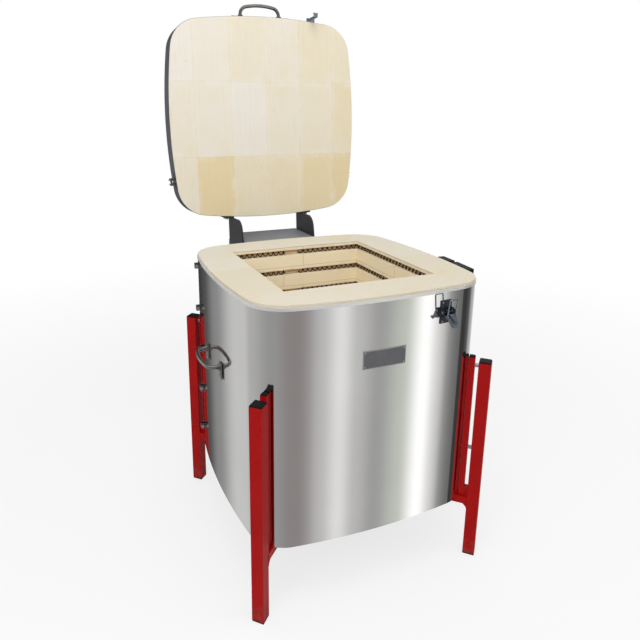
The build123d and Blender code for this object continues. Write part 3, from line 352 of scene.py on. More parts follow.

# Chamber: insulating firebricks, sawn square and laid with a thin slip, in a floor and seven
# grooved courses. They are cream outside. Inside, grooves included, they are painted paler:
# painted light that stands in for the light reaching in. They are lightly scorched inside, with
# tan stains, and the roofs of the grooves are brown, partly scorched and partly painted shadow.
# Each brick fires to its own shade.

wall_low, wall_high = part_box("wall_course_1")
MIDDLE_Y = (wall_low.y + wall_high.y) / 2
RIM = wall_high.z
HALF_CHAMBER = 0.200
COURSE = 0.060
GROOVE_DEPTH = 0.022
GROOVE_TOP = 0.004
GROOVE_FULL = 0.011
JOINT_IN_TOP_COURSE = 0.020
JOINT_IN_NEXT_COURSE = -0.043
fired_brick = Finish("insulating_firebrick", roughness=0.92)
fired_brick.set(specular_ior_level=0.25)
x, y, z = fired_brick.split(fired_brick.place)
tone = fired_brick.node("ShaderNodeAttribute", {"attribute_name": "tone"}, None, 2)
mottle = fired_brick.noise(24, 5.0, 0.6)
crumbs = fired_brick.noise(210, 4.0, 0.7)
pores = 1 - fired_brick.cells(330).rise(0.10, 0.30)
pores = pores * fired_brick.noise(120, 2.0).rise(0.45, 0.62)
pits = 1 - fired_brick.cells(60).rise(0.05, 0.11)
pits = pits * fired_brick.noise(28, 2.0).rise(0.52, 0.60)
shade = fired_brick.blend(tone, srgb(216, 211, 199), srgb(211, 200, 174))
shade = fired_brick.blend(mottle * 0.55, shade, srgb(214, 206, 186))
stain = fired_brick.noise(9, 4.0, 0.65).rise(0.52, 0.78)
shade = fired_brick.blend(stain * 0.5, shade, srgb(216, 196, 150))
reach = abs(x).math("MAXIMUM", abs(y - MIDDLE_Y))
groove_back = HALF_CHAMBER + GROOVE_DEPTH
inside = 1 - reach.rise(groove_back, groove_back + 0.012)
inside = inside * (1 - z.rise(RIM - 0.006, RIM - 0.001))
# Inside the chamber and its grooves the bricks are painted paler than outside: painted light
# standing in for the light that reaches in.
shade = fired_brick.blend(inside * 0.9, shade, srgb(254, 240, 208))
in_course = ((RIM - z) / COURSE).math("FRACT") * COURSE
below_top = in_course.rise(GROOVE_TOP, GROOVE_FULL)
deep = reach.rise(HALF_CHAMBER + 0.0004, HALF_CHAMBER + 0.003)
deep = deep * (1 - reach.rise(groove_back - 0.002, groove_back + 0.002))
# The roofs and upper backs of the grooves are painted brown: partly scorching, partly painted shadow
# under each roof.
scorch_and_shadow = (1 - in_course.rise(0.0125, 0.0215)) * below_top * deep
lick = (1 - in_course.rise(0.016, 0.030)) * below_top * inside
lick = lick * fired_brick.noise(45, 4.0).rise(0.30, 0.70) * 0.5
shade = fired_brick.blend(scorch_and_shadow * 0.85, shade, srgb(196, 132, 58))
shade = fired_brick.blend(lick, shade, srgb(196, 150, 88))
across = abs(y - MIDDLE_Y) > abs(x)
along_x = x * (y - MIDDLE_Y).math("SIGN")
along_y = (MIDDLE_Y - y) * x.math("SIGN")
along = across * along_x + (1 - across) * along_y
even = ((RIM - z) / COURSE).math("FLOOR").math("PINGPONG", 1.0)
seam = abs(along - JOINT_IN_TOP_COURSE + even * (JOINT_IN_TOP_COURSE - JOINT_IN_NEXT_COURSE))
bed = in_course.math("PINGPONG", COURSE / 2)
slip = (1 - bed.math("MINIMUM", seam).rise(0.0005, 0.0016)) * (1 - scorch_and_shadow)
shade = fired_brick.blend(slip * 0.34 * inside, shade, srgb(176, 142, 90))
shade = fired_brick.blend(pores * 0.28, shade, srgb(190, 164, 118))
shade = fired_brick.blend(pits * 0.5, shade, srgb(150, 118, 78))
fired_brick.set(base_color=shade, roughness=0.86 + crumbs * 0.1)
rough_face = crumbs * 0.5 + pores * -0.8 + pits * -1.4
fired_brick.set(normal=fired_brick.relief(rough_face, 0.35, 0.0005))
firing = Random(7)


def wall_tone(middle):
    """Shade of one wall brick, any between the palest and the darkest."""
    return firing.random()


def floor_tone(middle):
    """Shade of one floor brick, never far from the middle of the range."""
    return 0.3 + 0.5 * firing.random()


courses = [f"wall_course_{number}" for number in range(1, 8)]
eased(courses, fired_brick, width=0.0006, tone=wall_tone)
eased(["floor_bricks"], fired_brick, width=0.0006, tone=floor_tone)

# Heating elements: seven coils of resistance wire, each wound on a mandrel, laid round the chamber
# in its groove and led out through the rear wall by two straight tails. The wire has a dark
# oxide skin.

COILS = 7
COIL_AXIS = 0.2083
COIL_START_X = 0.013
COIL_END_X = -0.037
CURL_RADIUS = 0.005
CURLS = 96.75
STEPS_PER_CURL = 12
TOP_COIL_Z = 0.7458
TAIL_END = 0.345
TAIL_SIDE = 0.001
TAIL_BEND = 0.0045
oxide_wire = Finish("oxidised_element_wire", metallic=0.08, specular_ior_level=0.16)
scale_skin = oxide_wire.noise(700, 4.0, 0.65)
shade = oxide_wire.blend(scale_skin, srgb(40, 24, 13), srgb(86, 54, 29))
oxide_wire.set(base_color=shade, roughness=0.52 + scale_skin * 0.25)
oxide_wire.set(normal=oxide_wire.relief(scale_skin, 0.4, 0.0002))

route = bpy.data.curves.new("element_routes", "CURVE")
route.dimensions = "3D"
rear = MIDDLE_Y + COIL_AXIS
front = MIDDLE_Y - COIL_AXIS
for number in range(COILS):
    level = TOP_COIL_Z - number * COURSE
    corners = [(COIL_START_X, rear), (COIL_AXIS, rear), (COIL_AXIS, front)]
    corners += [(-COIL_AXIS, front), (-COIL_AXIS, rear), (COIL_END_X, rear)]
    line = route.splines.new("POLY")
    line.points.add(len(corners) - 1)
    for point, (px, py) in zip(line.points, corners):
        point.co = (px, py, level, 1)
elements = bpy.data.objects.new("heating_elements", route)
bpy.context.scene.collection.objects.link(elements)


class Growth(Tree):
    """A geometry modifier's tree, with named inputs."""

    def __init__(self, name, inputs):
        super().__init__(bpy.data.node_groups.new(name, "GeometryNodeTree"))
        self.sockets = {}
        face = self.nodes.interface
        face.new_socket("Geometry", in_out="INPUT", socket_type="NodeSocketGeometry")
        for label, value in inputs.items():
            kind = "NodeSocketInt" if isinstance(value, int) else "NodeSocketFloat"
            socket = face.new_socket(label, in_out="INPUT", socket_type=kind)
            self.sockets[label] = (socket.identifier, value)
        face.new_socket("Geometry", in_out="OUTPUT", socket_type="NodeSocketGeometry")
        start = self.nodes.nodes.new("NodeGroupInput")
        self.given = {socket.name: Value(self, socket) for socket in start.outputs if socket.name}

    def close(self, shape, material):
        """Ends the tree: instances made real, smooth but for square edges, the material set."""
        shape = self.node("GeometryNodeRealizeInstances", None, {0: shape})
        smooth = {"Geometry": shape, "Shade Smooth": True}
        shape = self.node("GeometryNodeSetShadeSmooth", {"domain": "FACE"}, smooth)
        fold = self.node("GeometryNodeInputMeshEdgeAngle") > radians(80)
        sharp = {"Geometry": shape, "Selection": fold, "Shade Smooth": False}
        shape = self.node("GeometryNodeSetShadeSmooth", {"domain": "EDGE"}, sharp)
        shape = self.node("GeometryNodeSetMaterial", None, {0: shape, "Material": material})
        self.node("NodeGroupOutput", None, {0: shape})

    def grow(self, thing, body, slot, *nodes):
        """Runs the tree on an object and leaves a plain mesh that rides on a body."""
        modifier = thing.modifiers.new("growth", "NODES")
        modifier.node_group = self.nodes
        for identifier, value in self.sockets.values():
            modifier[identifier] = value
        bpy.context.view_layer.update()
        grown = thing.evaluated_get(bpy.context.evaluated_depsgraph_get())
        mesh = bpy.data.meshes.new_from_object(grown)
        thing.modifiers.clear()
        piece = bpy.data.objects.new(thing.name + "_made", mesh)
        bpy.context.scene.collection.objects.link(piece)
        bpy.data.objects.remove(thing)
        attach(piece, body)
        if nodes:
            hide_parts(*nodes)
        return piece


winding = Growth("wound_element", {
    "Corner Radius": 0.025,
    "Points": int(CURLS * STEPS_PER_CURL) + 1,
    "Steps Per Curl": STEPS_PER_CURL,
    "Curl Radius": CURL_RADIUS,
    "Wire Radius": 0.0015,
    "Sides": 5,
})
given = winding.given
values = {"Curve": given["Geometry"], "Count": 8, "Radius": given["Corner Radius"]}
bent = winding.node("GeometryNodeFilletCurve", {"mode": "POLY"}, values)
values = {"Curve": bent, "Count": given["Points"]}
even = winding.node("GeometryNodeResampleCurve", {"mode": "COUNT"}, values)
step = winding.node("GeometryNodeSplineParameter", None, None, 2)
turn = (step / given["Steps Per Curl"]) * (-2 * pi) - pi / 2
tangent = winding.node("GeometryNodeInputTangent")
outward = winding.vector("CROSS_PRODUCT", (0, 0, 1), tangent)
outward = winding.vector("SCALE", outward, Scale=turn.math("COSINE") * given["Curl Radius"])
upward = winding.vector("SCALE", (0, 0, 1), Scale=turn.math("SINE") * given["Curl Radius"])
offset = winding.vector("ADD", outward, upward)
wound = winding.node("GeometryNodeSetPosition", None, {"Geometry": even, "Offset": offset})
tail_length = TAIL_END - COIL_AXIS
values = {"Start": (0, 0, 0), "End": (-TAIL_SIDE, tail_length, 0)}
right_tail = winding.node("GeometryNodeCurvePrimitiveLine", None, values)
half_bent = (TAIL_SIDE * 0.3, TAIL_BEND * (1 - cos(pi / 4)), -TAIL_BEND * sin(pi / 4))
full_bent = (TAIL_SIDE, TAIL_BEND, -TAIL_BEND)
values = {"Resolution": 7, "Start": (0, 0, 0), "Middle": half_bent, "End": full_bent}
left_bend = winding.node("GeometryNodeCurveArc", {"mode": "POINTS"}, values)
values = {"Start": full_bent, "End": (TAIL_SIDE, tail_length - CURL_RADIUS, -TAIL_BEND)}
left_run = winding.node("GeometryNodeCurvePrimitiveLine", None, values)
left_tail = winding.node("GeometryNodeJoinGeometry", None, {"Geometry": left_bend})
winding.nodes.links.new(left_run.socket, left_tail.socket.node.inputs[0])
wires = winding.node("GeometryNodeJoinGeometry", None, {"Geometry": wound})
for tail, at_start in ((right_tail, 1), (left_tail, 0)):
    values = {"Start Size": at_start, "End Size": 1 - at_start}
    chosen = winding.node("GeometryNodeCurveEndpointSelection", None, values)
    values = {"Points": wound, "Selection": chosen, "Instance": tail}
    tails = winding.node("GeometryNodeInstanceOnPoints", None, values)
    real = winding.node("GeometryNodeRealizeInstances", None, {0: tails})
    winding.nodes.links.new(real.socket, wires.socket.node.inputs[0])
values = {"Resolution": given["Sides"], "Radius": given["Wire Radius"]}
section = winding.node("GeometryNodeCurvePrimitiveCircle", None, values)
values = {"Curve": wires, "Profile Curve": section, "Fill Caps": True}
tube = winding.node("GeometryNodeCurveToMesh", None, values)
winding.close(tube, oxide_wire.material)
winding.grow(elements, "kiln_body", "element_wire", "heating_coils")

# Screws of the jacket and the lid: zinc-plated pan heads with a cross recess, and small domed
# rivets at the blank plate. Each head is grown on the foot of its CAD head, to the same size.

LARGEST_RIVET = 0.0022
CROSS_LENGTH = 1.24
CROSS_WIDTH = 0.30
CROSS_DEPTH = 0.55
heads = Growth("screw_heads", {"Sides": 28, "Rings": 6, "Dome": 0.55})
given = heads.given
values = {"Vertices": given["Sides"], "Side Segments": given["Rings"], "Radius": 1.0, "Depth": 1.0}
drum = heads.node("GeometryNodeMeshCylinder", None, values)
drum = heads.node("GeometryNodeTransform", None, {"Geometry": drum, "Translation": (0, 0, 0.5)})
spot = heads.node("GeometryNodeInputPosition")
x, y, z = heads.split(spot)
narrow = (1 - z * z * given["Dome"]).math("SQRT")
narrowing = heads.node("ShaderNodeCombineXYZ", None, {0: narrow, 1: narrow, 2: 1.0})
spot = heads.vector("MULTIPLY", spot, narrowing)
dome = heads.node("GeometryNodeSetPosition", None, {"Geometry": drum, "Position": spot})
cross = heads.node("GeometryNodeJoinGeometry")
for size in ((CROSS_LENGTH, CROSS_WIDTH, 1.0), (CROSS_WIDTH, CROSS_LENGTH, 1.0)):
    bar = heads.node("GeometryNodeMeshCube", None, {"Size": size})
    values = {"Geometry": bar, "Translation": (0, 0, 1.5 - CROSS_DEPTH)}
    bar = heads.node("GeometryNodeTransform", None, values)
    heads.nodes.links.new(bar.socket, cross.socket.node.inputs[0])
settings = {"operation": "DIFFERENCE", "solver": "EXACT"}
values = {"Mesh 1": dome, "Mesh 2": cross, "Self Intersection": True}
crossed = heads.node("GeometryNodeMeshBoolean", settings, values)
number = {"data_type": "FLOAT"}
radius = heads.node("GeometryNodeInputNamedAttribute", number, {"Name": "head_radius"})
rise = heads.node("GeometryNodeInputNamedAttribute", number, {"Name": "head_rise"})
arrow = {"data_type": "FLOAT_VECTOR"}
axis = heads.node("GeometryNodeInputNamedAttribute", arrow, {"Name": "head_axis"})
facing = heads.node("FunctionNodeAlignRotationToVector", {"axis": "Z"}, {"Vector": axis})
size = heads.node("ShaderNodeCombineXYZ", None, {0: radius, 1: radius, 2: rise})
bodies = heads.node("GeometryNodeJoinGeometry")
for shape, chosen in ((crossed, radius > LARGEST_RIVET), (dome, radius < LARGEST_RIVET)):
    values = {"Points": given["Geometry"], "Selection": chosen, "Instance": shape}
    values.update({"Rotation": facing, "Scale": size})
    placed = heads.node("GeometryNodeInstanceOnPoints", None, values)
    heads.nodes.links.new(placed.socket, bodies.socket.node.inputs[0])
heads.close(bodies, plated_steel.material)


def largest_flat(places, loops):
    """The direction that the largest flat side of a solid faces."""
    flats = {}
    for loop in loops:
        first, *rest = (Vector(places[corner]) for corner in loop)
        area = Vector()
        for near, far in zip(rest, rest[1:]):
            area += (near - first).cross(far - first)
        side = tuple(round(part, 2) for part in area.normalized())
        flats[side] = flats.get(side, Vector()) + area
    return max(flats.values(), key=lambda area: area.length).normalized()


for name, body, wall in (
    ("jacket_fitting_screws", "kiln_body", "jacket_front"),
    ("lid_fitting_screws", "lid", "lid_bricks"),
):
    feet, axes, radii, rises = [], [], [], []
    low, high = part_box(wall)
    inner = (low + high) / 2
    for places, loops in closed_solids(name):
        way = largest_flat(places, loops)
        middle = sum((Vector(place) for place in places), Vector()) / len(places)
        if way.dot(middle - Vector((inner.x, inner.y, middle.z))) < 0:
            way = -way
        reach = [way.dot(Vector(place) - middle) for place in places]
        across = [((Vector(place) - middle).cross(way)).length for place in places]
        feet.append(middle + way * min(reach))
        axes += list(way)
        radii.append(max(across))
        rises.append(max(reach) - min(reach))
    mesh = bpy.data.meshes.new(name + "_feet")
    mesh.from_pydata(feet, [], [])
    mesh.attributes.new("head_axis", "FLOAT_VECTOR", "POINT").data.foreach_set("vector", axes)
    mesh.attributes.new("head_radius", "FLOAT", "POINT").data.foreach_set("value", radii)
    mesh.attributes.new("head_rise", "FLOAT", "POINT").data.foreach_set("value", rises)
    seats = bpy.data.objects.new(name, mesh)
    bpy.context.scene.collection.objects.link(seats)
    heads.grow(seats, body, "bolt_steel", name)

# Welds of the stand: a rippled bead round the joint of each leg with the end of its beam and the
# narrower block above it. Laid by hand with a torch, then covered by the red coat.

POST_BLOCK_HEIGHT = 0.026
joints = bpy.data.curves.new("weld_joints", "CURVE")
joints.dimensions = "3D"
beam_low, beam_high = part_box("base_beam_long")
beam_top = beam_high.z - POST_BLOCK_HEIGHT
for corner in ("front_left", "front_right", "rear_left", "rear_right"):
    low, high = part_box("leg_" + corner)
    post = (low + high) / 2 - Vector((0, MIDDLE_Y, 0))
    away = Vector((post.x, post.y, 0))
    half_tube = (high.x - low.x) / sqrt(2) / 2
    seam = away * (1 - half_tube / away.length) + Vector((0, MIDDLE_Y, 0))
    across = away.normalized().cross(Vector((0, 0, 1))) * half_tube
    side = [(1, beam_low.z), (1, beam_top), (0.5, beam_top), (0.5, beam_high.z)]
    side += [(-share, level) for share, level in reversed(side)]
    line = joints.splines.new("POLY")
    line.points.add(len(side) - 1)
    for point, (share, level) in zip(line.points, side):
        at = seam + across * share
        point.co = (at.x, at.y, level, 1)
seams = bpy.data.objects.new("stand_welds", joints)
bpy.context.scene.collection.objects.link(seams)
welds = Growth("weld_beads", {"Spacing": 0.0011, "Bead Radius": 0.0012, "Seed": 5})
given = welds.given
values = {"Curve": given["Geometry"], "Length": given["Spacing"]}
even = welds.node("GeometryNodeResampleCurve", {"mode": "LENGTH"}, values)
values = {"Segments": 10, "Rings": 6, "Radius": given["Bead Radius"]}
bead = welds.node("GeometryNodeMeshUVSphere", None, values)
values = {2: 0.8, 3: 1.2, "Seed": given["Seed"]}
uneven = welds.node("FunctionNodeRandomValue", {"data_type": "FLOAT"}, values, 1)
values = {"Points": even, "Instance": bead, "Scale": uneven}
welds.close(welds.node("GeometryNodeInstanceOnPoints", None, values), red_paint.material)
welds.grow(seams, "kiln_body", "red_paint")

# Bushings, thermocouple and terminals: glazed porcelain tubes lead the tails through the jacket,
# and a plated terminal is clamped on each tail inside the connection box.

porcelain = Finish("porcelain", roughness=0.3)
glaze = porcelain.noise(70, 4.0)
porcelain.set(base_color=porcelain.blend(glaze, srgb(222, 214, 196), srgb(238, 233, 220)))
porcelain.set(roughness=0.28 + glaze * 0.2)
porcelain.set(normal=porcelain.relief(porcelain.noise(400, 2.0), 0.15, 0.0001))
dress(["element_bushings", "thermocouple"], porcelain)
dress(["element_terminals"], plated_steel)

# Jacket: two sheets of mirror-polished stainless steel wrapped round the bricks, with a folded
# top edge. They keep long soft polishing streaks and faint handling marks.

HEM_HEIGHT = 0.013
polished_steel = Finish("polished_stainless", metallic=1.0)
streak = polished_steel.noise(900, 2.0, 0.5, (1, 1, 0.004))
smear = polished_steel.noise(7, 4.0, 0.55)
print_marks = polished_steel.noise(42, 5.0, 0.6).rise(0.60, 0.78)
x, y, z = polished_steel.split(polished_steel.place)
# The folded top edge is painted paler and partly matt: a painted highlight along the fold.
hem = z > RIM - HEM_HEIGHT
shade = polished_steel.blend(smear, srgb(214, 213, 212), srgb(226, 225, 224))
shade = polished_steel.blend(hem, shade, srgb(236, 235, 232))
polished_steel.set(base_color=shade, metallic=1 - hem * 0.35)
polished_steel.set(roughness=0.055 + streak * 0.04 + print_marks * 0.03 + hem * 0.35)
polished_steel.set(normal=polished_steel.relief(streak, 0.02, 0.00005))
dress(["jacket_front", "jacket_rear"], polished_steel)

# Jacket clamps: pressed stainless lugs, spot welded to the edges of the two sheets. Zinc-plated
# screws draw each pair of lugs together, and more of them hold the box and the bracket.

pressed_steel = Finish("pressed_stainless", metallic=1.0)
brush = pressed_steel.noise(1500, 2.0, 0.5, (0.05, 0.05, 1))
tarnish = pressed_steel.noise(80, 4.0)
shade = pressed_steel.blend(tarnish, srgb(94, 95, 98), srgb(168, 168, 169))
pressed_steel.set(base_color=shade, roughness=0.22 + brush * 0.12 + tarnish * 0.08)
pressed_steel.set(normal=pressed_steel.relief(brush, 0.08, 0.0001))
eased(["jacket_clamp_lugs"], pressed_steel, width=0.0003, steps=1)
dress(["jacket_clamp_screws", "rear_fixing_screws"], plated_steel)

# Handles on both sides and on the lid: round steel bar bent to a bow and nickel plated. Each end
# stands on a stamped foot plate that is screwed on.

nickel = Finish("nickel_plate", metallic=1.0)
wear = nickel.noise(65, 5.0, 0.6)
lines = nickel.noise(1300, 2.0)
shade = nickel.blend(wear, srgb(92, 91, 88), srgb(182, 181, 177))
nickel.set(base_color=shade, roughness=0.10 + wear * 0.12)
nickel.set(normal=nickel.relief(lines, 0.06, 0.0001))
dress(["side_handle_left", "side_handle_right", "lid_handle"], nickel)
eased(["side_handle_plates", "lid_handle_plates"], nickel, width=0.0005)

# Blank plate on the front: grey aluminium sheet, etched so that a bright border stands up round
# it, and held by four rivets.

PLATE_BORDER = 0.0016
plate_low, plate_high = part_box("blank_front_plate")
plate_half = (plate_high - plate_low) / 2
plate_middle = (plate_high + plate_low) / 2
grey_plate = Finish("etched_plate", metallic=0.8)
x, y, z = grey_plate.split(grey_plate.place)
edge_x = plate_half.x - abs(x)
edge_z = plate_half.z - abs(z - plate_middle.z)
border = 1 - edge_x.math("MINIMUM", edge_z).rise(PLATE_BORDER, PLATE_BORDER + 0.0006)
etch = grey_plate.noise(1600, 2.0)
drift = grey_plate.noise(30, 3.0)
shade = grey_plate.blend(drift, srgb(112, 113, 117), srgb(134, 134, 137))
shade = grey_plate.blend(border * 0.8, shade, srgb(178, 178, 180))
grey_plate.set(base_color=shade, roughness=0.48 - border * 0.18 + etch * 0.12)
grey_plate.set(normal=grey_plate.relief(etch * 0.3 + border, 0.4, 0.0004))
eased(["blank_front_plate"], grey_plate, width=0.0004)

# Draw latch: a dark zinc-plated base screwed to the jacket, with a chrome-plated pressed lever on
# a pin and a bent wire bail in the lever. The bail pulls on the strike at the lid's edge.

chrome = Finish("chrome_plate", metallic=1.0)
haze = chrome.noise(90, 4.0)
shade = chrome.blend(haze, srgb(118, 129, 144), srgb(188, 197, 208))
chrome.set(base_color=shade, roughness=0.09 + haze * 0.10)
chrome.set(normal=chrome.relief(chrome.noise(800, 2.0), 0.05, 0.0001))
dark_zinc = Finish("dark_passivated_zinc", metallic=0.9)
haze = dark_zinc.noise(70, 4.0)
shade = dark_zinc.blend(haze, srgb(44, 47, 53), srgb(78, 83, 92))
dark_zinc.set(base_color=shade, roughness=0.24 + haze * 0.12)
dark_zinc.set(normal=dark_zinc.relief(dark_zinc.noise(700, 2.0), 0.06, 0.0001))
eased(["latch_base"], dark_zinc, width=0.0004)
eased(["latch_lever", "latch_strike"], chrome, width=0.0004)
dress(["latch_lever_pin", "latch_bail_pin", "latch_bail"], chrome)

# Lid: eighteen firebricks cemented side by side, held by a steel band in two halves and covered by
# a galvanised sheet. It stands open. Its bricks run from near white to yellow tan. The band is
# painted dark blue-grey, partly its own tint and partly a painted reflection.

LID_OPEN = radians(93.5)
BRICK_WIDTH = 0.116
BRICK_LENGTH = 0.228
FIRST_JOINT_X = 0.002
PALE_BRICK = (-1, 0)
YELLOW_BRICKS = ((-2, 1), (2, 1))
axle_low, axle_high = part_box("hinge_axle")
HINGE = (axle_low + axle_high) / 2
closed = Matrix.Translation(HINGE) @ Matrix.Rotation(LID_OPEN, 4, "X") @ Matrix.Translation(-HINGE)
lid_brick = Finish("lid_firebrick", roughness=0.92)
lid_brick.set(specular_ior_level=0.25)
values = {"Vector": lid_brick.place, "Location": tuple(closed.to_translation())}
values["Rotation"] = tuple(closed.to_euler())
x, y, z = lid_brick.split(lid_brick.node("ShaderNodeMapping", None, values))
column = (x - FIRST_JOINT_X).math("PINGPONG", BRICK_WIDTH / 2)
row = abs(abs(y - MIDDLE_Y) - BRICK_LENGTH / 2)
waver = lid_brick.noise(70, 3.0) * 0.0012
slip = 1 - (column + waver).math("MINIMUM", row + waver).rise(0.0012, 0.0030)
tone = lid_brick.node("ShaderNodeAttribute", {"attribute_name": "tone"}, None, 2)
mottle = lid_brick.noise(16, 5.0, 0.6)
drift = lid_brick.noise(5, 2.0)
crumbs = lid_brick.noise(210, 4.0, 0.7)
pores = 1 - lid_brick.cells(330).rise(0.10, 0.30)
pores = pores * lid_brick.noise(120, 2.0).rise(0.45, 0.62)
pits = 1 - lid_brick.cells(45).rise(0.04, 0.09)
pits = pits * lid_brick.noise(20, 2.0).rise(0.56, 0.62)
stops = [(0.0, srgb(228, 222, 213)), (0.4, srgb(226, 217, 194)), (0.7, srgb(225, 209, 172))]
stops.append((1.0, srgb(223, 205, 165)))
drifted = tone + (mottle - 0.5) * 0.35 + (drift - 0.5) * 0.2
shade = lid_brick.node("ShaderNodeValToRGB", {"stops": stops}, {0: drifted})
wipe = 1 - (column + waver * 6).math("MINIMUM", row * 0.6 + waver * 6).rise(0.002, 0.020)
wipe = wipe * lid_brick.noise(24, 4.0, 0.6).rise(0.34, 0.74)
saw = lid_brick.noise(170, 3.0, 0.6, (1, 1, 0.05)).rise(0.40, 0.75)
shade = lid_brick.blend(saw * 0.16, shade, srgb(214, 196, 156))
patch = lid_brick.noise(11, 5.0, 0.65, (1, 1, 0.6)).rise(0.45, 0.72)
shade = lid_brick.blend(patch * 0.18, shade, srgb(232, 224, 204))
stain = lid_brick.noise(8, 4.0, 0.6, (1, 1, 0.7)).rise(0.55, 0.80)
shade = lid_brick.blend(stain * 0.5, shade, srgb(223, 203, 158))
shade = lid_brick.blend(wipe * 0.6, shade, srgb(234, 229, 217))
shade = lid_brick.blend(slip * 0.09, shade, srgb(200, 178, 138))
shade = lid_brick.blend(pores * 0.16, shade, srgb(206, 184, 140))
shade = lid_brick.blend(pits * 0.5, shade, srgb(160, 132, 96))
lid_brick.set(base_color=shade, roughness=0.86 + crumbs * 0.1)
rough_face = crumbs * 0.5 + pores * -0.8 + pits * -1.4 + slip * 0.6
lid_brick.set(normal=lid_brick.relief(rough_face, 0.3, 0.0005))
lid_firing = Random(21)


def lid_tone(middle):
    """Shade of one lid brick from its place on the closed lid."""
    at = closed @ middle
    across = round((at.x - FIRST_JOINT_X - BRICK_WIDTH / 2) / BRICK_WIDTH)
    along = round((at.y - MIDDLE_Y) / BRICK_LENGTH)
    value = 0.42 + 0.09 * across + 0.12 * along + 0.34 * (lid_firing.random() - 0.5)
    if (across, along) == PALE_BRICK:
        value = 0.02
    if (across, along) in YELLOW_BRICKS:
        value = 0.98
    return min(1.0, max(0.0, value))


eased(["lid_bricks"], lid_brick, width=0.0005, tone=lid_tone)
grey_band = Finish("blued_steel_band", metallic=0.9)
roll = grey_band.noise(500, 3.0, 0.6, (1, 1, 0.2))
bloom = grey_band.noise(12, 4.0)
# The band's dark blue-grey is partly its own tint and partly a painted reflection of the dark
# surroundings it mirrors.
shade = grey_band.blend(bloom, srgb(84, 89, 102), srgb(118, 122, 132))
grey_band.set(base_color=shade, roughness=0.30 + roll * 0.1 + bloom * 0.1)
grey_band.set(normal=grey_band.relief(roll, 0.06, 0.0001))
dress(["lid_band_front", "lid_band_rear"], grey_band)
dress(["lid_cover"], galvanised)
eased(["lid_band_clamps"], pressed_steel, width=0.0004, steps=1)
dress(["lid_arm_bolts"], plated_steel)

# Hinge: a folded galvanised bracket screwed to the rear of the jacket, a plated axle with washers,
# and two arms cut from plate, painted dark grey and bolted to the lid's band.

bracket_zinc = Finish("bracket_zinc", metallic=0.45)
spangle = bracket_zinc.cells(160)
grey = bracket_zinc.noise(30, 4.0)
shade = bracket_zinc.blend(spangle * 0.6, srgb(146, 148, 152), srgb(172, 174, 177))
shade = bracket_zinc.blend(grey * 0.4, shade, srgb(130, 132, 137))
bracket_zinc.set(base_color=shade, roughness=0.42 + spangle * 0.12)
bracket_zinc.set(normal=bracket_zinc.relief(bracket_zinc.noise(500, 2.0), 0.1, 0.0001))
eased(["hinge_bracket"], bracket_zinc, width=0.0006)
dark_paint = Finish("dark_grey_paint", specular_ior_level=0.25)
fleck = dark_paint.noise(450, 3.0)
cloud = dark_paint.noise(20, 4.0)
shade = dark_paint.blend(cloud, srgb(38, 39, 42), srgb(56, 57, 61))
dark_paint.set(base_color=shade, roughness=0.38 + fleck * 0.15)
dark_paint.set(normal=dark_paint.relief(fleck, 0.25, 0.0003))
eased(["lid_arm_left", "lid_arm_right"], dark_paint, width=0.0006)
dress(["hinge_washers", "hinge_axle"], plated_steel)

# Connection box on the rear: folded galvanised sheet with punched slot vents, screwed to the
# jacket. A black moulded gland sits in its floor.

eased(["connection_box"], galvanised, width=0.0005, steps=1)
eased(["cable_gland"], black_plastic, width=0.0006)

# Lid switch and its plug box: black moulded housings, screwed to a bent steel strip on the jacket
# beside the rim.

housings = ["lid_switch_housing", "switch_plug_box"]
eased(housings, black_plastic, width=0.0015, steps=3)
eased(["lid_switch_bracket"], pressed_steel, width=0.0003, steps=1)

# Studio floor: one plain pale sheet under the kiln. It keeps the soft shadow and runs out to
# white, and polished metal doesn't mirror it.

FLOOR_REACH = 14.0
floor_mesh = bpy.data.meshes.new("studio_floor")
signs = ((-1, -1), (1, -1), (1, 1), (-1, 1))
ends = [(FLOOR_REACH * along, FLOOR_REACH * across, 0) for along, across in signs]
floor_mesh.from_pydata(ends, [], [(0, 1, 2, 3)])
studio_floor = bpy.data.objects.new("studio_floor", floor_mesh)
bpy.context.scene.collection.objects.link(studio_floor)
paper = bpy.data.materials.new("white_paper")
paper.use_nodes = True
paper.node_tree.nodes.clear()
sheet = Tree(paper.node_tree)
matt = sheet.node("ShaderNodeBsdfDiffuse", None, {"Color": (0.86, 0.86, 0.86, 1)})
white = sheet.node("ShaderNodeEmission", None, {"Color": (1, 1, 1, 1), "Strength": 1.0})
seen = sheet.node("ShaderNodeLightPath")
rays = seen.socket.node.outputs
seen = Value(sheet, rays["Is Camera Ray"]) + Value(sheet, rays["Is Glossy Ray"])
seen = seen + Value(sheet, rays["Is Transmission Ray"])
place = sheet.node("ShaderNodeTexCoord", None, None, 3)
away = sheet.vector("LENGTH", place).rise(0.7, 3.2)
seen = seen.math("MINIMUM", 1.0) * (0.74 + away * 0.26)
paper_face = sheet.node("ShaderNodeMixShader", None, {0: seen, 1: matt, 2: white})
sheet.node("ShaderNodeOutputMaterial", None, {"Surface": paper_face})
floor_mesh.materials.append(paper)
studio_floor.visible_glossy = False

# Studio screen: a tall ring of glowing panels far round the kiln, from bright white to black.
# Only polished metal sees it, as soft upright bands.

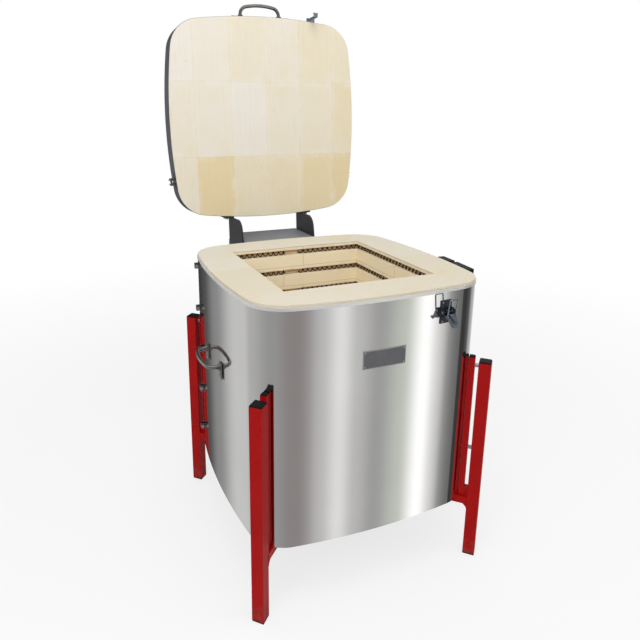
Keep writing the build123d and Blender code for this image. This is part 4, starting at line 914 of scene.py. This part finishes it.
SCREEN_RADIUS = 9.0
SCREEN_FOOT = -40.0
SCREEN_TOP = 14.0
PANELS = 96
screen_mesh = bpy.data.meshes.new("studio_screen")
ring = []
for level in (SCREEN_FOOT, SCREEN_TOP):
    for index in range(PANELS):
        angle = 2 * pi * index / PANELS
        ring.append((SCREEN_RADIUS * cos(angle), SCREEN_RADIUS * sin(angle), level))
faces = []
for index in range(PANELS):
    following = (index + 1) % PANELS
    faces.append((index, following, PANELS + following, PANELS + index))
screen_mesh.from_pydata(ring, [], faces)
studio_screen = bpy.data.objects.new("studio_screen", screen_mesh)
bpy.context.scene.collection.objects.link(studio_screen)
panel_glow = bpy.data.materials.new("screen_cloth")
panel_glow.use_nodes = True
panel_glow.node_tree.nodes.clear()
sheet = Tree(panel_glow.node_tree)
place = sheet.node("ShaderNodeTexCoord", None, None, 3)
x, y, z = sheet.split(place)
bearing = x.math("ARCTAN2", 0 - y) / (2 * pi) + 0.5
# Each band is a bearing in degrees, 0 at the kiln's front and 90 at its right, and the grey of its
# glow.
bands = [(-180, 0.03), (-172, 0.09), (-162, 0.31), (-150, 0.70), (-120, 0.56), (-50, 0.40)]
bands += [(-2, 0.32), (8, 0.31), (13, 0.64), (18.5, 1.02), (23, 0.66), (29, 0.45), (36, 0.68)]
bands += [(42.5, 1.5), (46.5, 0.88), (50.5, 0.22), (54, 0.08), (64, 0.05), (80, 0.10), (100, 0.50)]
bands += [(130, 0.85), (155, 0.45), (172, 0.10), (180, 0.03)]
tints = {-2: (1.06, 0.97, 0.97), 8: (1.06, 0.97, 0.97), 36: (0.99, 1.05, 0.95)}
stops = []
for angle, grey in bands:
    red, green, blue = tints.get(angle, (1, 1, 1))
    stops.append(((angle + 180) / 360, (grey * red, grey * green, grey * blue, 1)))
glow = sheet.node("ShaderNodeValToRGB", {"stops": stops, "spread": "EASE"}, {0: bearing})
# The panels glow: each grey is the strength of their light, which the metal mirrors.
panel_glow_face = sheet.node("ShaderNodeEmission", None, {"Color": glow, "Strength": 1.0})
sheet.node("ShaderNodeOutputMaterial", None, {"Surface": panel_glow_face})
screen_mesh.materials.append(panel_glow)
studio_screen.visible_camera = False
studio_screen.visible_diffuse = False
studio_screen.visible_shadow = False
studio_screen.visible_transmission = False
studio_screen.visible_volume_scatter = False

# Light: an even pale room, a large soft lamp from the left front, a weaker one from the right
# and one overhead, all aimed at the middle of the kiln.

AIM = Vector((0, -0.1, 0.6))
room = bpy.data.worlds.new("pale_room")
bpy.context.scene.world = room
room.use_nodes = True
room.node_tree.nodes.clear()
air = Tree(room.node_tree)
rays = air.node("ShaderNodeLightPath").socket.node.outputs
seen = Value(air, rays["Is Camera Ray"]) + Value(air, rays["Is Glossy Ray"])
seen = (seen + Value(air, rays["Is Transmission Ray"])).math("MINIMUM", 1.0)
strength = 0.52 + seen * 0.48
sky = air.node("ShaderNodeBackground", None, {"Color": (1, 1, 1, 1), "Strength": strength})
air.node("ShaderNodeOutputWorld", None, {"Surface": sky})
for name, place, size, watts in (
    ("key_lamp", (-2.4, -2.6, 2.9), 2.2, 46.0),
    ("fill_lamp", (2.6, -2.0, 2.2), 2.0, 14.0),
    ("top_lamp", (-0.3, -0.9, 3.2), 1.6, 31.0),
):
    lamp = bpy.data.lights.new(name, "AREA")
    lamp.shape = "SQUARE"
    lamp.size = size
    lamp.energy = watts
    holder = bpy.data.objects.new(name, lamp)
    holder.location = place
    holder.rotation_euler = (AIM - Vector(place)).to_track_quat("-Z", "Y").to_euler()
    holder.visible_glossy = False
    bpy.context.scene.collection.objects.link(holder)

# Camera: at chest height, left of the middle, looking slightly down. Its lens is shifted a little
# so that the uprights lean less.

PHOTO_PIXELS = 640
FOCAL_PIXELS = 593
LOOKING_DOWN = 14.5
TURNED_RIGHT = 21.6
lens = bpy.data.cameras.new("camera")
lens.sensor_width = 36.0
lens.lens = lens.sensor_width * FOCAL_PIXELS / PHOTO_PIXELS
lens.shift_x = 0.055
lens.shift_y = -0.093
camera = bpy.data.objects.new("camera", lens)
camera.location = (-0.665, MIDDLE_Y - 1.379, 1.1635)
camera.rotation_euler = (radians(90 - LOOKING_DOWN), 0, radians(-TURNED_RIGHT))
bpy.context.scene.collection.objects.link(camera)
bpy.context.scene.camera = camera
bpy.context.scene.view_settings.view_transform = "Standard"
